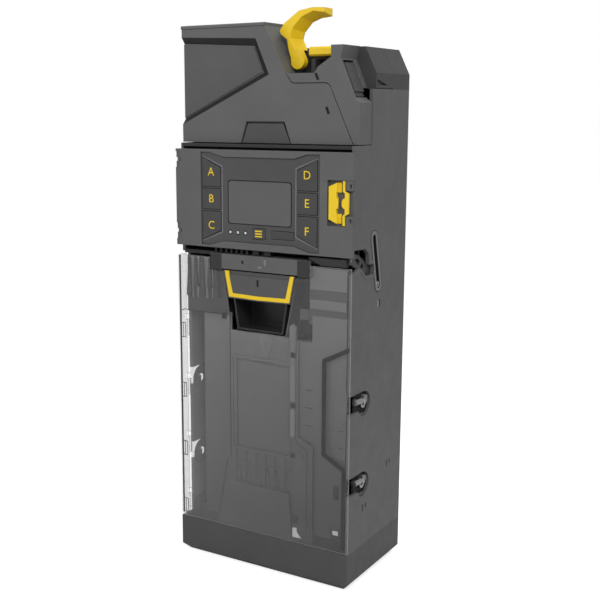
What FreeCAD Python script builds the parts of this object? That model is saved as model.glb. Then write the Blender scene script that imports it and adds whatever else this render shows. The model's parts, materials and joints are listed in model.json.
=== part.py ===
import FreeCAD, Part
import math
import os

# A vending coin changer. Millimetres.
# Origin: middle of the footprint, at the base. X right, Y to the back, Z up.

os.makedirs("parts", exist_ok=True)
V = FreeCAD.Vector

# ---- driving dimensions -------------------------------------------------------------------------
width = 137.0              # overall
depth = 81.0
band_height = 26.4         # base tray
bay_height = 193.1         # cassette bay above the tray
bay_gap = 7.0              # between the bay and the keypad door
door_height = 66.0
door_gap = 4.3             # between the door and the acceptor
acceptor_height = 77.2
wall = 2.5                 # housing sheet
rim_relief = 0.4           # how far raised rims stand out of the side walls
skin = 2.2                 # acceptor and cap moulding
base_chamfer = 4.5
run_gap = 0.4              # between pieces that move past each other
fit_gap = 0.05             # round a pin
small = 0.1                # between neighbours that stay still

acceptor_setback = 8.5     # acceptor front, behind the door front
recess_depth = 3.2
cover_sheet = 1.5          # clear cover
cover_return = 11.2
door_plate = 3.2
tube_pitch = 22.4
tube_row_pitch = 23.4
tube_radius = 10.6         # outside
tube_sheet = 1.0
block_foot = 33.5          # cassette block above the base
pin_radius = 0.9
pusher_travel = 8.0
mount_hole_radius = 2.6
mount_spacing = 80.0
peg_radius = 3.0
key_disc_radius = 8.6
key_lead = 12.7            # height of the straight mouth of a key slot

# ---- places worked out from them ----------------------------------------------------------------
half = width / 2
front = -depth / 2
back = depth / 2
side = half - rim_relief                   # outer face of the side walls
inner = side - wall
bay_top = band_height + bay_height
door_low = bay_top + bay_gap
door_top = door_low + door_height
acc_low = door_top + door_gap
acc_top = acc_low + acceptor_height
acc_front = front + acceptor_setback
acc_back = back - 50.0                     # where the acceptor ends and the rear cap starts
wall_rise = 34.7                           # housing walls above the acceptor's foot
housing_top = acc_low + wall_rise
cap_crease = housing_top + 10.0
cap_top = housing_top + 26.5
cover_back = front + cover_sheet
back_inner = back - wall


# ---- helpers ------------------------------------------------------------------------------------
def box(x0, x1, y0, y1, z0, z1):
    return Part.makeBox(x1 - x0, y1 - y0, z1 - z0, V(x0, y0, z0))


def polygon(points, place):
    corners = [place(a, b) for a, b in points]
    return Part.makePolygon(corners + corners[:1])


def prism_xz(points, y0, y1):
    wire = polygon(points, lambda x, z: V(x, y0, z))
    return Part.Face(wire).extrude(V(0, y1 - y0, 0))


def prism_yz(points, x0, x1):
    wire = polygon(points, lambda y, z: V(x0, y, z))
    return Part.Face(wire).extrude(V(x1 - x0, 0, 0))


def cylinder(x, y, z, radius, length, axis):
    return Part.makeCylinder(radius, length, V(x, y, z), axis)


def along_y(x, z, y0, y1, radius):
    return cylinder(x, y0, z, radius, y1 - y0, V(0, 1, 0))


def along_x(y, z, x0, x1, radius):
    return cylinder(x0, y, z, radius, x1 - x0, V(1, 0, 0))


def along_z(x, y, z0, z1, radius):
    return cylinder(x, y, z0, radius, z1 - z0, V(0, 0, 1))


def joined(shapes):
    first, rest = shapes[0], list(shapes[1:])
    return first.fuse(rest).removeSplitter() if rest else first


def group(shapes):
    return Part.makeCompound(shapes)


def edges_along(shape, direction, test):
    found = []
    for edge in shape.Edges:
        if not isinstance(edge.Curve, Part.Line):
            continue
        a, b = edge.Vertexes[0].Point, edge.Vertexes[-1].Point
        run = (b - a).normalize()
        if abs(run.dot(direction)) > 0.999 and test((a + b) * 0.5):
            found.append(edge)
    return found


def rounded_plate(x0, x1, z0, z1, y0, y1, radius):
    plate = box(x0, x1, y0, y1, z0, z1)
    corners = edges_along(plate, V(0, 1, 0), lambda p: True)
    return plate.makeFillet(radius, corners)


def offset_face(points, amount, y):
    face = Part.Face(polygon(points, lambda x, z: V(x, y, z)))
    return face.makeOffset2D(amount, join=2)


def save(name, shape):
    if not shape.isValid() or shape.Volume <= 0:
        raise ValueError("bad solid: " + name)
    shape.exportStep("parts/" + name + ".step")
    print(name, len(shape.Solids), round(shape.Volume))


# ---- housing ------------------------------------------------------------------------------------
bay_wall_left = front + cover_return + 2 * run_gap  # front edge of the left wall beside the clear cover
door_wall_left = front + 6.0
bay_wall_right = front + 2.0
door_wall_right = front + door_plate + run_gap
upper_wall = acc_front + 18.0                       # front edge beside the acceptor
key_slots = [band_height + 100.1, band_height + 43.8]     # heights of the discs of the key slots
key_disc_y = front + 22.0
key_rise = 2.8                                      # middle of the mouth above the disc
notch_low, notch_high = bay_top - 6.9, bay_top + 11.0
slot_top = V(0, front + 31.6, bay_top + 17.0)
slot_foot = V(0, front + 38.9, bay_top - 15.0)
slot_radius = 2.2
slot_rim = 2.6
rim_rise = rim_relief - 0.1


def key_slot(x0, x1, disc_z):
    mouth_z = disc_z + key_rise
    mouth = box(x0, x1, front - 1, key_disc_y, mouth_z - key_lead / 2, mouth_z + key_lead / 2)
    return mouth.fuse(along_x(key_disc_y, disc_z, x0, x1, key_disc_radius))


def stadium(radius, x0, x1, top=slot_top, foot=slot_foot):
    run = (top - foot).normalize()
    across = V(0, -run.z, run.y) * radius
    corners = [top + across, foot + across, foot - across, top - across]
    straight = prism_yz([(p.y, p.z) for p in corners], x0, x1)
    ends = [along_x(p.y, p.z, x0, x1, radius) for p in (top, foot)]
    return straight.fuse(ends).removeSplitter()


def notch(grow):
    y0 = front - 1
    points = [(y0, notch_low + 3.0 - grow), (front + 3.3, notch_low + 3.0 - grow),
              (front + 12.5, notch_low + 6.5 - grow), (front + 20.6, notch_low - grow),
              (front + 31.5 + grow, notch_low - grow), (front + 31.5 + grow, notch_high - 11.0 + grow),
              (front + 25.6 + grow, notch_high - 11.0 + grow), (front + 24.0 + grow, notch_high - 3.6 + grow),
              (front + 19.1, notch_high + grow), (y0, notch_high + 0.8 + grow)]
    return points


def key_slots_cut(x0, x1):
    return [key_slot(x0, x1, disc_z) for disc_z in key_slots]


def housing_left():
    x0, x1 = -side - 1, -inner + 1
    sheet = box(-side, -inner, door_wall_left, back_inner, band_height, housing_top)
    cuts = [box(x0, x1, front, bay_wall_left, band_height - 1, bay_top + 2),
            box(x0, x1, front, upper_wall, acc_low - 0.5, housing_top + 1)]
    cuts += key_slots_cut(x0, x1)
    cuts += [along_x(key_disc_y + 1.5, band_height + z, x0, x1, 1.2) for z in (67.2, 79.9)]
    return joined([sheet.cut(cuts)] + hinge_lugs())


def housing_right():
    x0, x1 = inner - 1, side + 1
    sheet = box(inner, side, bay_wall_right, back_inner, band_height, housing_top)
    cuts = [box(x0, x1, front, door_wall_right, notch_high, acc_low),
            box(x0, x1, front, upper_wall, acc_low - 0.5, housing_top + 1),
            prism_yz(notch(0), x0, x1), stadium(slot_radius, x0, x1),
            box(x0, x1, front + 39.4, front + 43.4, bay_top - 30.6, bay_top - 25.4)]
    cuts += key_slots_cut(x0, x1)
    for y, z in ((front + 60.8, band_height + 47.5), (front + 24.3, band_height + 26.7)):
        cuts += [box(x0, x1, y + dy - 0.8, y + dy + 0.8, z - low, z + 2.6)
                 for dy, low in ((-2.2, 2.6), (2.2, 0.8))]
    return joined([sheet.cut(cuts)] + raised_rims())


def housing_back():
    sheet = box(-side, side, back_inner, back, band_height, housing_top)
    cuts = [along_y(x, z, back_inner - 1, back + 1, mount_hole_radius) for x, z in mount_holes()]
    cuts.append(box(socket_x - 10.4, socket_x + 10.4, back_inner - 1, back + 1,
                    socket_z - 7.0, socket_z + 7.0))
    return sheet.cut(cuts)


def mount_holes():
    return [(-mount_spacing / 2, housing_top - 12.0), (mount_spacing / 2, housing_top - 12.0),
            (0.0, band_height + 16.0)]


socket_x, socket_z = inner - 24.0, door_low + 20.0


def raised_rims():
    face = side + rim_rise
    rim = stadium(slot_radius + slot_rim, side, face)
    notch_edge = prism_yz(notch(2.6), side, face)
    clear = [box(side - 1, half + 1, front - 5, front + 2.2, 0, acc_top),
             box(side - 1, half + 1, front - 5, door_wall_right, door_low - run_gap, acc_top)]
    ring = rim.fuse(notch_edge.cut(clear))
    return ring.cut([prism_yz(notch(0), side - 1, half + 1),
                     stadium(slot_radius, side - 1, half + 1)]).removeSplitter().Solids


def base_tray():
    c = base_chamfer
    cross = [(-side + c, 0), (side - c, 0), (side, c), (side, band_height), (-side, band_height), (-side, c)]
    run = [(front + c, 0), (back - c, 0), (back, c), (back, band_height), (front, band_height), (front, c)]
    body = prism_xz(cross, front, back).common(prism_yz(run, -side, side))
    hollow = box(-inner, inner, front + wall, back_inner, base_chamfer + 0.5, band_height + 1)
    outlets = [box(-inner + 6, -inner + 36, front + 4.5, deck_front - 2.5, -1, band_height),
               box(inner - 26, inner - 6, front + 4.5, deck_front - 2.5, -1, band_height)]
    holes = [along_z(x, y, -1, base_chamfer + 1, screw_radius + fit_gap) for x, y in base_screw_places()]
    sinks = [along_z(x, y, -1, screw_head_top, screw_radius + 1.6) for x, y in base_screw_places()]
    return body.cut([hollow] + outlets + holes + sinks).removeSplitter()


screw_radius = 1.6
screw_head_top = 1.4


def base_screw_places():
    return [(x, back - 12.0) for x in (-inner + 9, inner - 9)]


def base_screws():
    screws = []
    for x, y in base_screw_places():
        shank = along_z(x, y, 0.4, base_chamfer + 0.5, screw_radius)
        head = along_z(x, y, 0.4, screw_head_top, screw_radius + 1.2)
        screws.append(joined([shank, head]))
    return group(screws)


deck_front = front + 19.5
deck_top = band_height + 4.6


def tube_places():
    first_x = block_x0 + block_edge + tube_radius
    first_y = block_y0 + block_edge + tube_radius
    return [(first_x + i * tube_pitch, first_y + j * tube_row_pitch) for j in range(2) for i in range(3)]


def base_deck():
    plate = box(-inner, inner, deck_front, back_inner, band_height, deck_top)
    skirt = box(-inner, inner, deck_front, deck_front + 2.0, base_chamfer + 0.5, band_height)
    drops = [along_z(x, y, band_height - 1, deck_top + 1, tube_radius - tube_sheet)
             for x, y in tube_places() if y - tube_radius > deck_front]
    return plate.fuse(skirt).cut(drops).removeSplitter()


def inner_frame():
    plate = box(-inner, inner, front + 5.0, back_inner, bay_top + 1.0, bay_top + 3.5)
    ribs = [box(x, x + 1.6, front + 3.2, front + 7.0, bay_top + 3.5, door_low - 0.6)
            for x in [-inner + 27.0 + 4.2 * i for i in range(7)]]
    catch = box(-8.0, 6.0, front + 3.2, front + 8.0, bay_top + 3.5, door_low - 0.6)
    bite = box(-3.0, 1.0, front + 3.0, front + 6.0, bay_top + 3.0, door_low)
    low, high = bay_top + 0.5, door_low - 1.5
    x0, x1 = handle_x + 37.2, link_x0 - run_gap
    lintel = prism_xz([(x0, high), (x0, high - 0.8), (x0 + 9.0, low), (x1, low), (x1, high)],
                      front + 2.0, front + 5.2)
    lug = box(x1 - 3.6, x1, front + 4.0, front + 8.0, bay_top + 3.0, bay_top + 6.3)
    bore = along_x(link_axis[0], link_axis[1], x1 - 2.0, inner, pin_radius)
    link_way = box(x1, inner + 1, front, front + 38.5, bay_top, bay_top + 5.0)
    shelf = joined([plate.cut([coin_drop(), link_way]), catch.cut(bite), lintel, lug] + ribs)
    return joined([shelf.cut(bore), bulkhead()])


def bulkhead():
    screen_wall = box(-inner, inner, front + 18.0, front + 20.0, bay_top + 3.5, acc_low - 2.8)
    roof = box(-inner, inner, front + 4.2, back_inner, acc_low - 2.8, acc_low - 0.6)
    link_way = box(link_x0 - run_gap, inner + 1, front + 17.0, front + 21.0, bay_top, bay_top + 12.0)
    return joined([screen_wall.cut(link_way), roof.cut(coin_drop())])


def coin_drop():
    return box(-20.0, 20.0, front + 12.6, front + 17.8, bay_top, acc_low + skin + 0.5)


# ---- acceptor -----------------------------------------------------------------------------------
floor_z = acc_low + 44.6                # funnel floor
shoulder_z = acc_low + 61.4
flap_foot = (side - 3.6, acc_low + 28.7)
flap_head = (side - 14.1, acc_low + 53.2)
tower_x = side - 69.5                   # top corner of the left tower
funnel_x0 = side - 53.9
funnel_x1 = side - 32.6
tower_back = back - 36.5
acc_foot_back = upper_wall - 1.4


def acceptor_outline():
    return [(-side, acc_low), (side, acc_low), (side, acc_low + 26.2), flap_foot, flap_head,
            (side - 12.1, shoulder_z), (side - 20.9, shoulder_z), (side - 20.7, acc_low + 54.2),
            (side - 30.2, acc_low + 48.3), (funnel_x1, floor_z), (funnel_x0, floor_z),
            (tower_x, acc_top - 2.2), (-side, acc_top - 2.2)]


def tower_foot_x():
    slope = (funnel_x0 - tower_x) / (floor_z - (acc_top - 2.2))
    return tower_x + slope * (housing_top + 12.0 - (acc_top - 2.2))


def tower_outline():
    foot_x = tower_foot_x()
    return [(-side, housing_top + 0.4), (foot_x, housing_top + 0.4), (foot_x, housing_top + 12.0),
            (tower_x, acc_top - 2.2), (-side, acc_top - 2.2)]


def above_walls(y0, y1):
    return box(-half - 1, half + 1, y0, y1, housing_top + 0.4, acc_top + 1)


coin_slot_y = (acc_front + 4.8, acc_front + 9.3)
lever_front, lever_back = acc_front + 11.0, acc_back - 0.6


def acceptor_shell():
    outline = acceptor_outline()
    low = prism_xz(outline, acc_front, acc_foot_back)
    high = prism_xz(outline, acc_front, acc_back - small).common(above_walls(acc_front, back))
    tower = prism_xz(tower_outline(), acc_back - 3, tower_back)
    body = joined([low, high, tower])
    core = offset_face(outline, -skin, acc_front + 4.0).extrude(V(0, back - acc_front, 0))
    tower_core = offset_face(tower_outline(), -skin, acc_back - 6).extrude(V(0, depth, 0))
    slot_y0, slot_y1 = coin_slot_y
    coin_slot = box(funnel_x0 + 0.4, side - 24.0, slot_y0, slot_y1, floor_z - skin - 3, shoulder_z + 1)
    return body.cut([core, tower_core, coin_slot]).removeSplitter()


def arc_points(centre, radius, start, end, steps=6):
    turns = [start + (end - start) * i / steps for i in range(steps + 1)]
    return [(centre[0] + radius * math.cos(t), centre[1] + radius * math.sin(t)) for t in turns]


def seam_region():
    seam_z = acc_low + 38.1
    bend = 5.0
    points = [(-half - 5, acc_low - 5), (side - 4.6, acc_low - 5), (side - 4.6, acc_low)]
    points += [(side - 20.6, acc_low + 34.5)]
    points += arc_points((side - 25.4, seam_z - bend), bend, math.radians(28), math.radians(90))
    points += arc_points((funnel_x0 + 7.2, seam_z + bend), bend, math.radians(270), math.radians(205))
    points += [(funnel_x0, floor_z), (tower_x, acc_top - 2.2), (tower_x, acc_top + 5)]
    points += [(-half - 5, acc_top + 5)]
    return points


def recess_outline():
    return [(-side - 0.3, acc_top - 7.5), (tower_x - 7.2, acc_top - 10.0), (tower_x + 3.1, acc_low + 44.1),
            (-side - 0.3, acc_low + 11.7)]


def recess_floor_outline():
    return [(-side - 0.3, acc_top - 11.4), (tower_x - 9.6, acc_top - 14.6), (tower_x - 2.6, acc_low + 45.4),
            (-side - 0.3, acc_low + 15.3)]


def recess_cut():
    outer = polygon(recess_outline(), lambda x, z: V(x, acc_front, z))
    lip = polygon(recess_outline(), lambda x, z: V(x, acc_front - 1, z))
    floor = polygon(recess_floor_outline(), lambda x, z: V(x, acc_front + recess_depth, z))
    front_slab = Part.makeLoft([lip, outer], True, True)
    return front_slab.fuse(Part.makeLoft([outer, floor], True, True))


def tab_outline(inset):
    top, low = acc_low + 14.1 - inset, acc_low + 0.01
    return [(-20.7 + inset, low), (19.0 - inset, low), (13.6 - inset, top), (-16.0 + inset, top)]


def slanted_hole(x, z):
    hole = box(x - 1.0, x + 1.0, acc_front - 1, acc_front + 6, z - 2.3, z + 2.3)
    hole.rotate(V(x, 0, z), V(0, 1, 0), -24)
    return hole


def acceptor_cover():
    region = prism_xz(seam_region(), acc_front - 5, back)
    cover = acceptor_shell().common(region)
    tab_low = tab_outline(0)
    tab_low[0], tab_low[1] = (tab_low[0][0], acc_low - 1), (tab_low[1][0], acc_low - 1)
    tab = prism_xz(tab_low, acc_front - 1, acc_front + 2.6)
    cuts = [recess_cut(), tab, slanted_hole(side - 22.9, acc_low + 21.2), coin_drop()]
    return cover.cut(cuts).removeSplitter()


def shoulder_cover():
    region = offset_face(seam_region(), 0.5, acc_front - 5).extrude(V(0, depth, 0))
    shoulder = acceptor_shell().cut(region)
    return shoulder.cut([slanted_hole(side - 30.8, acc_low + 42.2), flap_pocket()]).removeSplitter()


def recess_panel():
    points = [(-side, acc_top - 12.0), (tower_x - 10.2, acc_top - 15.3), (tower_x - 3.6, acc_low + 45.9),
              (-side, acc_low + 16.1)]
    floor = acc_front + recess_depth
    return prism_xz(points, floor - 0.6, floor)


def label_tab():
    return prism_xz(tab_outline(1.3), acc_front + 0.4, acc_front + 2.6)


def top_lid():
    top = box(-half, tower_x - 0.4, acc_front - 0.4, tower_back, acc_top - 2.2, acc_top)
    rim = edges_along(top, V(1, 0, 0), lambda p: p.z > acc_top - 0.1 and p.y < 0)
    return top.makeChamfer(0.8, rim)


# The flap lies on the slope of the right shoulder.
slope_run = V(flap_head[0] - flap_foot[0], 0, flap_head[1] - flap_foot[1])
slope_up = V(slope_run.x, 0, slope_run.z).normalize()
slope_out = V(slope_up.z, 0, -slope_up.x)
slope_length = slope_run.Length


def on_slope(along, out):
    p = V(flap_foot[0], 0, flap_foot[1]) + slope_up * along + slope_out * out
    return (p.x, p.z)


def slope_slab(a0, a1, o0, o1, y0, y1):
    return prism_xz([on_slope(a0, o0), on_slope(a1, o0), on_slope(a1, o1), on_slope(a0, o1)], y0, y1)


flap_thick = 1.6
flap_y0 = acc_front + 4.2
flap_y1 = acc_foot_back - 0.4
flap_hinge = on_slope(2.6, -2.2)


def flap_pocket():
    return slope_slab(0.6, slope_length - 1.0, -3.9, 1.0, flap_y0 - 2.2, flap_y1 + 0.8)


def side_flap():
    plate = slope_slab(4.6, slope_length - 2.6, -flap_thick, 0, flap_y0, flap_y1)
    knuckle = along_y(flap_hinge[0], flap_hinge[1], flap_y0 + 1, flap_y1 - 1, 1.5)
    web = slope_slab(2.2, 6.0, -2.6, -flap_thick + 0.6, flap_y0 + 1, flap_y1 - 1)
    bore = along_y(flap_hinge[0], flap_hinge[1], flap_y0 - 1, flap_y1 + 1, pin_radius + fit_gap)
    return joined([plate, knuckle, web]).cut(bore).removeSplitter()


def flap_pin():
    return along_y(flap_hinge[0], flap_hinge[1], flap_y0 - 2.2, flap_y1 + 0.8, pin_radius)


def pivot_pins():
    return group([flap_pin(), lever_axle(), gate_pin(), link_pin()])


def rear_cap():
    outline = [(-side, housing_top), (side, housing_top), (side, cap_crease), (side - 8.1, cap_top),
               (-side + 8.1, cap_top), (-side, cap_crease)]
    cap = prism_xz(outline, acc_back, back)
    core_outline = [(-side, housing_top - 9), (side, housing_top - 9)] + outline[2:]
    core = offset_face(core_outline, -skin, acc_back + skin).extrude(V(0, back - acc_back - 2 * skin, 0))
    tower = box(-half - 1, tower_foot_x() + run_gap, acc_back - 1, tower_back + run_gap,
                housing_top - 1, cap_top + 1)
    wedge = prism_yz([(acc_back + 1.2, housing_top + 2.4), (acc_back + 16.0, housing_top + 2.4),
                      (acc_back + 1.2, housing_top + 6.2)], side - 1.4, side + 1)
    ring = prism_xz(outline, seam_y, seam_y + 0.5)
    ring = ring.cut(offset_face(outline, -0.4, seam_y - 1).extrude(V(0, 3, 0)))
    step = box(side - 0.8, side + 1, acc_back - 1, seam_y, housing_top - 1, housing_top + 0.5)
    return cap.cut([core, tower, wedge, ring, step]).removeSplitter()


seam_y = back - 25.8


# ---- return lever -------------------------------------------------------------------------------
lever_axis = (funnel_x0 + 2.4, floor_z + 7.6)
lever_boss = 4.8


def lever_hook():
    outside = [(22.0, 40.7), (13.5, 41.2), (3.5, 39.6), (-7.8, 32.0), (-11.0, 27.6), (-10.2, 25.4),
               (-5.4, 21.8), (-4.6, 16.5)]
    inside_front = [(0.5, 15.0), (-3.4, 22.6), (-1.6, 28.8), (5.0, 35.6), (13.6, 38.9), (22.0, 37.8)]
    inside_back = [(4.0, 15.0), (0.6, 22.0), (1.8, 26.4), (7.6, 32.6), (14.0, 35.0), (22.0, 35.8)]
    wires = [polygon(outside + inside, lambda x, z: V(funnel_x0 + x, y, floor_z + z))
             for inside, y in ((inside_front, lever_front), (inside_back, lever_back))]
    return Part.makeLoft(wires, True, True)


def return_lever():
    x, z = lever_axis
    boss_back = lever_front + 5.5
    neck = [(x - 7.0, z + 8.9), (x + 1.6, z + 7.4), (x + 4.5, z + 1.6), (x + 4.7, z - 1.0),
            (x - 4.7, z - 1.0), (x - 5.0, z + 2.4)]
    boss = along_y(x, z, lever_front, boss_back, lever_boss)
    lever = joined([lever_hook(), prism_xz(neck, lever_front, boss_back), boss])
    return lever.cut(along_y(x, z, lever_front + 1.0, lever_back + 1, 1.5 + fit_gap))


def lever_axle():
    return along_y(lever_axis[0], lever_axis[1], lever_front + 1.2, acc_back, 1.5)


def lever_bracket():
    x0 = funnel_x0 + 12.2
    cheek = box(x0, x0 + 3.0, lever_front + 1.0, acc_back - small, floor_z, floor_z + 9.2)
    foot = box(x0, x0 + 9.0, lever_front + 1.0, acc_back - small, floor_z, floor_z + 2.0)
    return joined([cheek, foot])


def cross_bar():
    bar = box(funnel_x0 + 10.4, side - 21.2, lever_front + 1.0, lever_front + 8.0,
              floor_z + 10.9, floor_z + 16.8)
    rims = edges_along(bar, V(1, 0, 0), lambda p: True)
    return bar.makeChamfer(1.1, rims)


def coin_rail():
    x0, x1 = -inner + 10.0, funnel_x0 + 28.0
    z0, z1 = acc_low + 14.0, acc_low + 33.0
    return prism_xz([(x0, z0), (x1, z1), (x1, z1 + 3.0), (x0, z0 + 3.0)], acc_front + 4.0, acc_foot_back - 1)


def sensor_coils():
    coils = []
    first_x, last_x = funnel_x0 + 12.0, gate_axis[0] + 24.3
    for i in range(3):
        x = first_x + (last_x - first_x) * i / 2
        z = acc_low + 14.0 + 19.0 * (x + inner - 10.0) / (funnel_x0 + 28.0 + inner - 10.0)
        coils.append(along_y(x, z - 9.6, acc_front + 4.0, acc_front + 8.0, 6.0))
    return group(coils)


gate_axis = (-side + 22.0, acc_low + 10.0)


def accept_gate():
    x, z = gate_axis
    plate = box(x - 1.0, x + 1.0, acc_front + 5.0, acc_foot_back - 1.0, z - 7.0, z)
    hub = along_y(x, z, acc_front + 5.0, acc_foot_back - 1.0, 2.0)
    bore = along_y(x, z, acc_front, acc_back, pin_radius + fit_gap)
    return joined([plate, hub]).cut(bore)


def gate_pin():
    return along_y(gate_axis[0], gate_axis[1], acc_front + 4.0, acc_foot_back, pin_radius)


def gate_solenoid():
    x, z = gate_axis[0] + 6.5, acc_low + skin
    coil = along_x(acc_front + 10.5, z + 5.0, x, x + 10.0, 4.5)
    foot = box(x + 1.0, x + 9.0, acc_front + 7.5, acc_front + 13.5, z, z + 3.0)
    return joined([coil, foot])


def acceptor_board():
    y0 = acc_foot_back + 5.0
    return box(-inner + 4, inner - 8, y0, y0 + 1.6, acc_low - 0.6, housing_top - 2.0)


# ---- keypad door --------------------------------------------------------------------------------
door_x0, door_x1 = -half, half
hinge_axis = (-half + 2.0, front + 2.0)
plate_back = front + door_plate
panel_front = front + 0.9
panel_back = front + 2.4
keyboard_y = front + 7.4
panel_x0, panel_x1 = -half + 20.9, half - 23.7
key_width = 15.2
screen = (panel_x0 + 21.7, panel_x1 - 21.1, door_low + 16.8, door_low + 46.1)
latch_x0, latch_x1 = half - 17.6, half - 1.2
latch_z = door_low + 34.3


def panel_outline(grow):
    x0, x1 = panel_x0 - grow, panel_x1 + grow
    k0, k1 = panel_x0 + 18.6, panel_x1 - 19.2
    top, low = door_top - 1.8, door_low + 1.4
    dip, rise = 3.0, 3.2
    return [(x0, low - grow), (k0 - 11.5, low - grow), (k0, low + rise - grow), (k1, low + rise - grow),
            (k1 + 10.5, low - grow), (x1, low - grow), (x1, top + grow), (k1 + 10.5, top + grow),
            (k1, top - dip + grow), (k0, top - dip + grow), (k0 - 11.5, top + grow), (x0, top + grow)]


def key_outline(row, right, shrink):
    gap = 0.5 + shrink
    if right:
        x0, x1 = panel_x1 - 1.8 - key_width + shrink, panel_x1 - 1.8 - shrink
    else:
        x0, x1 = panel_x0 + 1.0 + shrink, panel_x0 + 1.0 + key_width - shrink
    outer, near = (x1, x0) if right else (x0, x1)
    edges = [door_low + 61.2, door_low + 40.4, door_low + 25.2, door_low + 4.4]
    high, low = edges[row] - gap, edges[row + 1] + gap
    points = [[near, low], [near, high], [outer, high], [outer, low]]
    if row == 0:
        points[1][1] -= 6.6
    if row == 2:
        points[0][1] += 6.6
    return [tuple(p) for p in points]


def key_solid(row, right, shrink, y0, y1):
    return prism_xz(key_outline(row, right, shrink), y0, y1)


menu_x = (screen[0] + screen[1]) / 2 - 0.4
menu_width = 10.4
select_x0, select_x1 = menu_x + menu_width / 2 + 4.6, screen[1] + 2.0
small_keys = {"menu_button": (menu_x, menu_width, 7.6),
              "select_button": ((select_x0 + select_x1) / 2, select_x1 - select_x0, 5.6)}
small_key_z = door_low + 11.2
lamp_x0 = screen[0] + 1.9
lamp_pitch = (menu_x - menu_width / 2 - 5.2 - lamp_x0) / 2
lamp_places = [(lamp_x0 + lamp_pitch * i, small_key_z) for i in range(3)]


def small_key(name, shrink, y0, y1):
    x, wide, tall = small_keys[name]
    half_wide, half_tall = wide / 2 - shrink, tall / 2 - shrink
    return box(x - half_wide, x + half_wide, y0, y1, small_key_z - half_tall, small_key_z + half_tall)


def keypad_frame():
    plate = box(door_x0, door_x1, front, plate_back, door_low, door_top)
    tray = box(-inner + 5, inner - 3, plate_back, front + 12.0, door_low + 2.5, door_top - 2.5)
    tray_core = box(-inner + 7, inner - 5, plate_back, front + 10.2, door_low + 4.3, door_top - 4.3)
    panel_hole = prism_xz(panel_outline(0), front - 1, plate_back)
    panel_seat = prism_xz(panel_outline(-1.4), front - 1, plate_back + 1)
    latch_hole = box(latch_x0 - 0.6, half + 1, front - 1, front + 2.6, latch_z - 14.6, latch_z + 14.4)
    hinge_cuts = []
    for z0, z1 in hinge_knuckles():
        hinge_cuts.append(box(door_x0 - 1, hinge_axis[0] + 2.2, front - 1, front + 5, z1, z1 + 2.4))
        hinge_cuts.append(box(door_x0 - 1, door_x0 + 2.6, front - 1, front + 0.9, z1 - 4.2, z1 + 6.6))
    hinge_hole = along_z(hinge_axis[0], hinge_axis[1], door_low - 1, door_top + 1, pin_radius + fit_gap)
    body = joined([plate, tray.cut(tray_core)])
    keep = panel_hole.common(box(-half, half, front - 1, panel_back, 0, acc_top))
    key_ways = [key_solid(row, right, -0.8, panel_back - 0.1, plate_back + 1)
                for row in range(3) for right in (False, True)]
    body = body.cut([keep, panel_seat, latch_hole, hinge_hole] + key_ways + hinge_cuts)
    catches = [box(inner - 2.4, inner - run_gap, plate_back - 0.6, plate_back + 2.0, z - 1.5, z + 1.5)
               for z in (latch_z - 12, latch_z + 12)]
    return joined([body] + catches + latch_cheeks())


def hinge_knuckles():
    return [(door_low + 1.0, door_low + 8.6), (door_top - 16.6, door_top - 8.4)]


def hinge_pins():
    pins = []
    for z0, z1 in hinge_knuckles():
        pins.append(along_z(hinge_axis[0], hinge_axis[1], z0 - 1.0, z1 + 4.4, pin_radius))
    return group(pins)


def hinge_lugs():
    lugs = []
    x, y = hinge_axis
    for z0, z1 in hinge_knuckles():
        low, high = z1 + 0.2, z1 + 2.2
        arm = box(-side, x + 1.6, y, door_wall_left + 0.5, low, high)
        lug = arm.fuse(along_z(x, y, low, high, 1.6))
        lugs.append(lug.cut(along_z(x, y, low - 1, high + 1, pin_radius + fit_gap)).removeSplitter())
    return lugs


def keypad_panel():
    panel = prism_xz(panel_outline(-small), panel_front, panel_back)
    cuts = [key_solid(row, right, 0, front, front + 4) for row in range(3) for right in (False, True)]
    cuts += [small_key(name, 0, front, front + 4) for name in small_keys]
    cuts += [along_y(x, z, front, front + 4, 1.55) for x, z in lamp_places]
    x0, x1, z0, z1 = screen
    cuts.append(rounded_plate(x0, x1, z0, z1, front, front + 4, 2.0))
    return panel.cut(cuts).removeSplitter()


def display_window():
    x0, x1, z0, z1 = screen
    return rounded_plate(x0 + small, x1 - small, z0 + small, z1 - small, panel_front - 0.1, panel_back, 1.9)


def display_module():
    x0, x1, z0, z1 = screen
    return box(x0 - 0.8, x1 + 0.8, panel_back, keyboard_y, z0 - 1.0, z1 + 1.0)


def status_lamps():
    return group([along_y(x, z, panel_front - 0.2, keyboard_y, 1.45) for x, z in lamp_places])


def keypad_board():
    return box(-inner + 7, inner - 5, keyboard_y, keyboard_y + 1.6, door_low + 5.0, door_top - 5.0)


def letter_button(row, right):
    cap = key_solid(row, right, 0.35, panel_front - 0.5, panel_back + 0.2)
    flange = key_solid(row, right, -0.3, panel_back + 0.2, panel_back + 1.0)
    return joined([cap, flange])


def round_button(name):
    cap = small_key(name, 0.3, panel_front - 0.4, panel_back + 0.2)
    flange = small_key(name, -0.7, panel_back + 0.2, panel_back + 1.0)
    return joined([cap, flange])


def latch_plate():
    x0 = latch_x0 + 0.4
    points = [(x0, latch_z - 10.3), (x0 + 6.0, latch_z - 12.9),
              (x0 + 6.0, latch_z + 12.9), (x0, latch_z + 10.3)]
    plate = prism_xz(points, front + 0.1, front + 2.4)
    tongue = [box(x0 + 5.0, x0 + 8.4, front + 1.8, front + 2.4, latch_z + low, latch_z + high)
              for low, high in ((-12.9, -6.7), (6.7, 12.9))]
    pad = along_y(x0 + 6.2, latch_z, front + 0.1, front + 0.6, 3.2).common(
        box(x0, x0 + 6.9, front, front + 1, latch_z - 4, latch_z + 4))
    thumb = box(x0 + 5.4, x0 + 7, front - 1, front + 3, latch_z + 3.6, latch_z + 6.7)
    return joined([plate, pad] + tongue).cut([thumb, thumb.mirror(V(0, 0, latch_z), V(0, 0, 1))])


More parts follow.
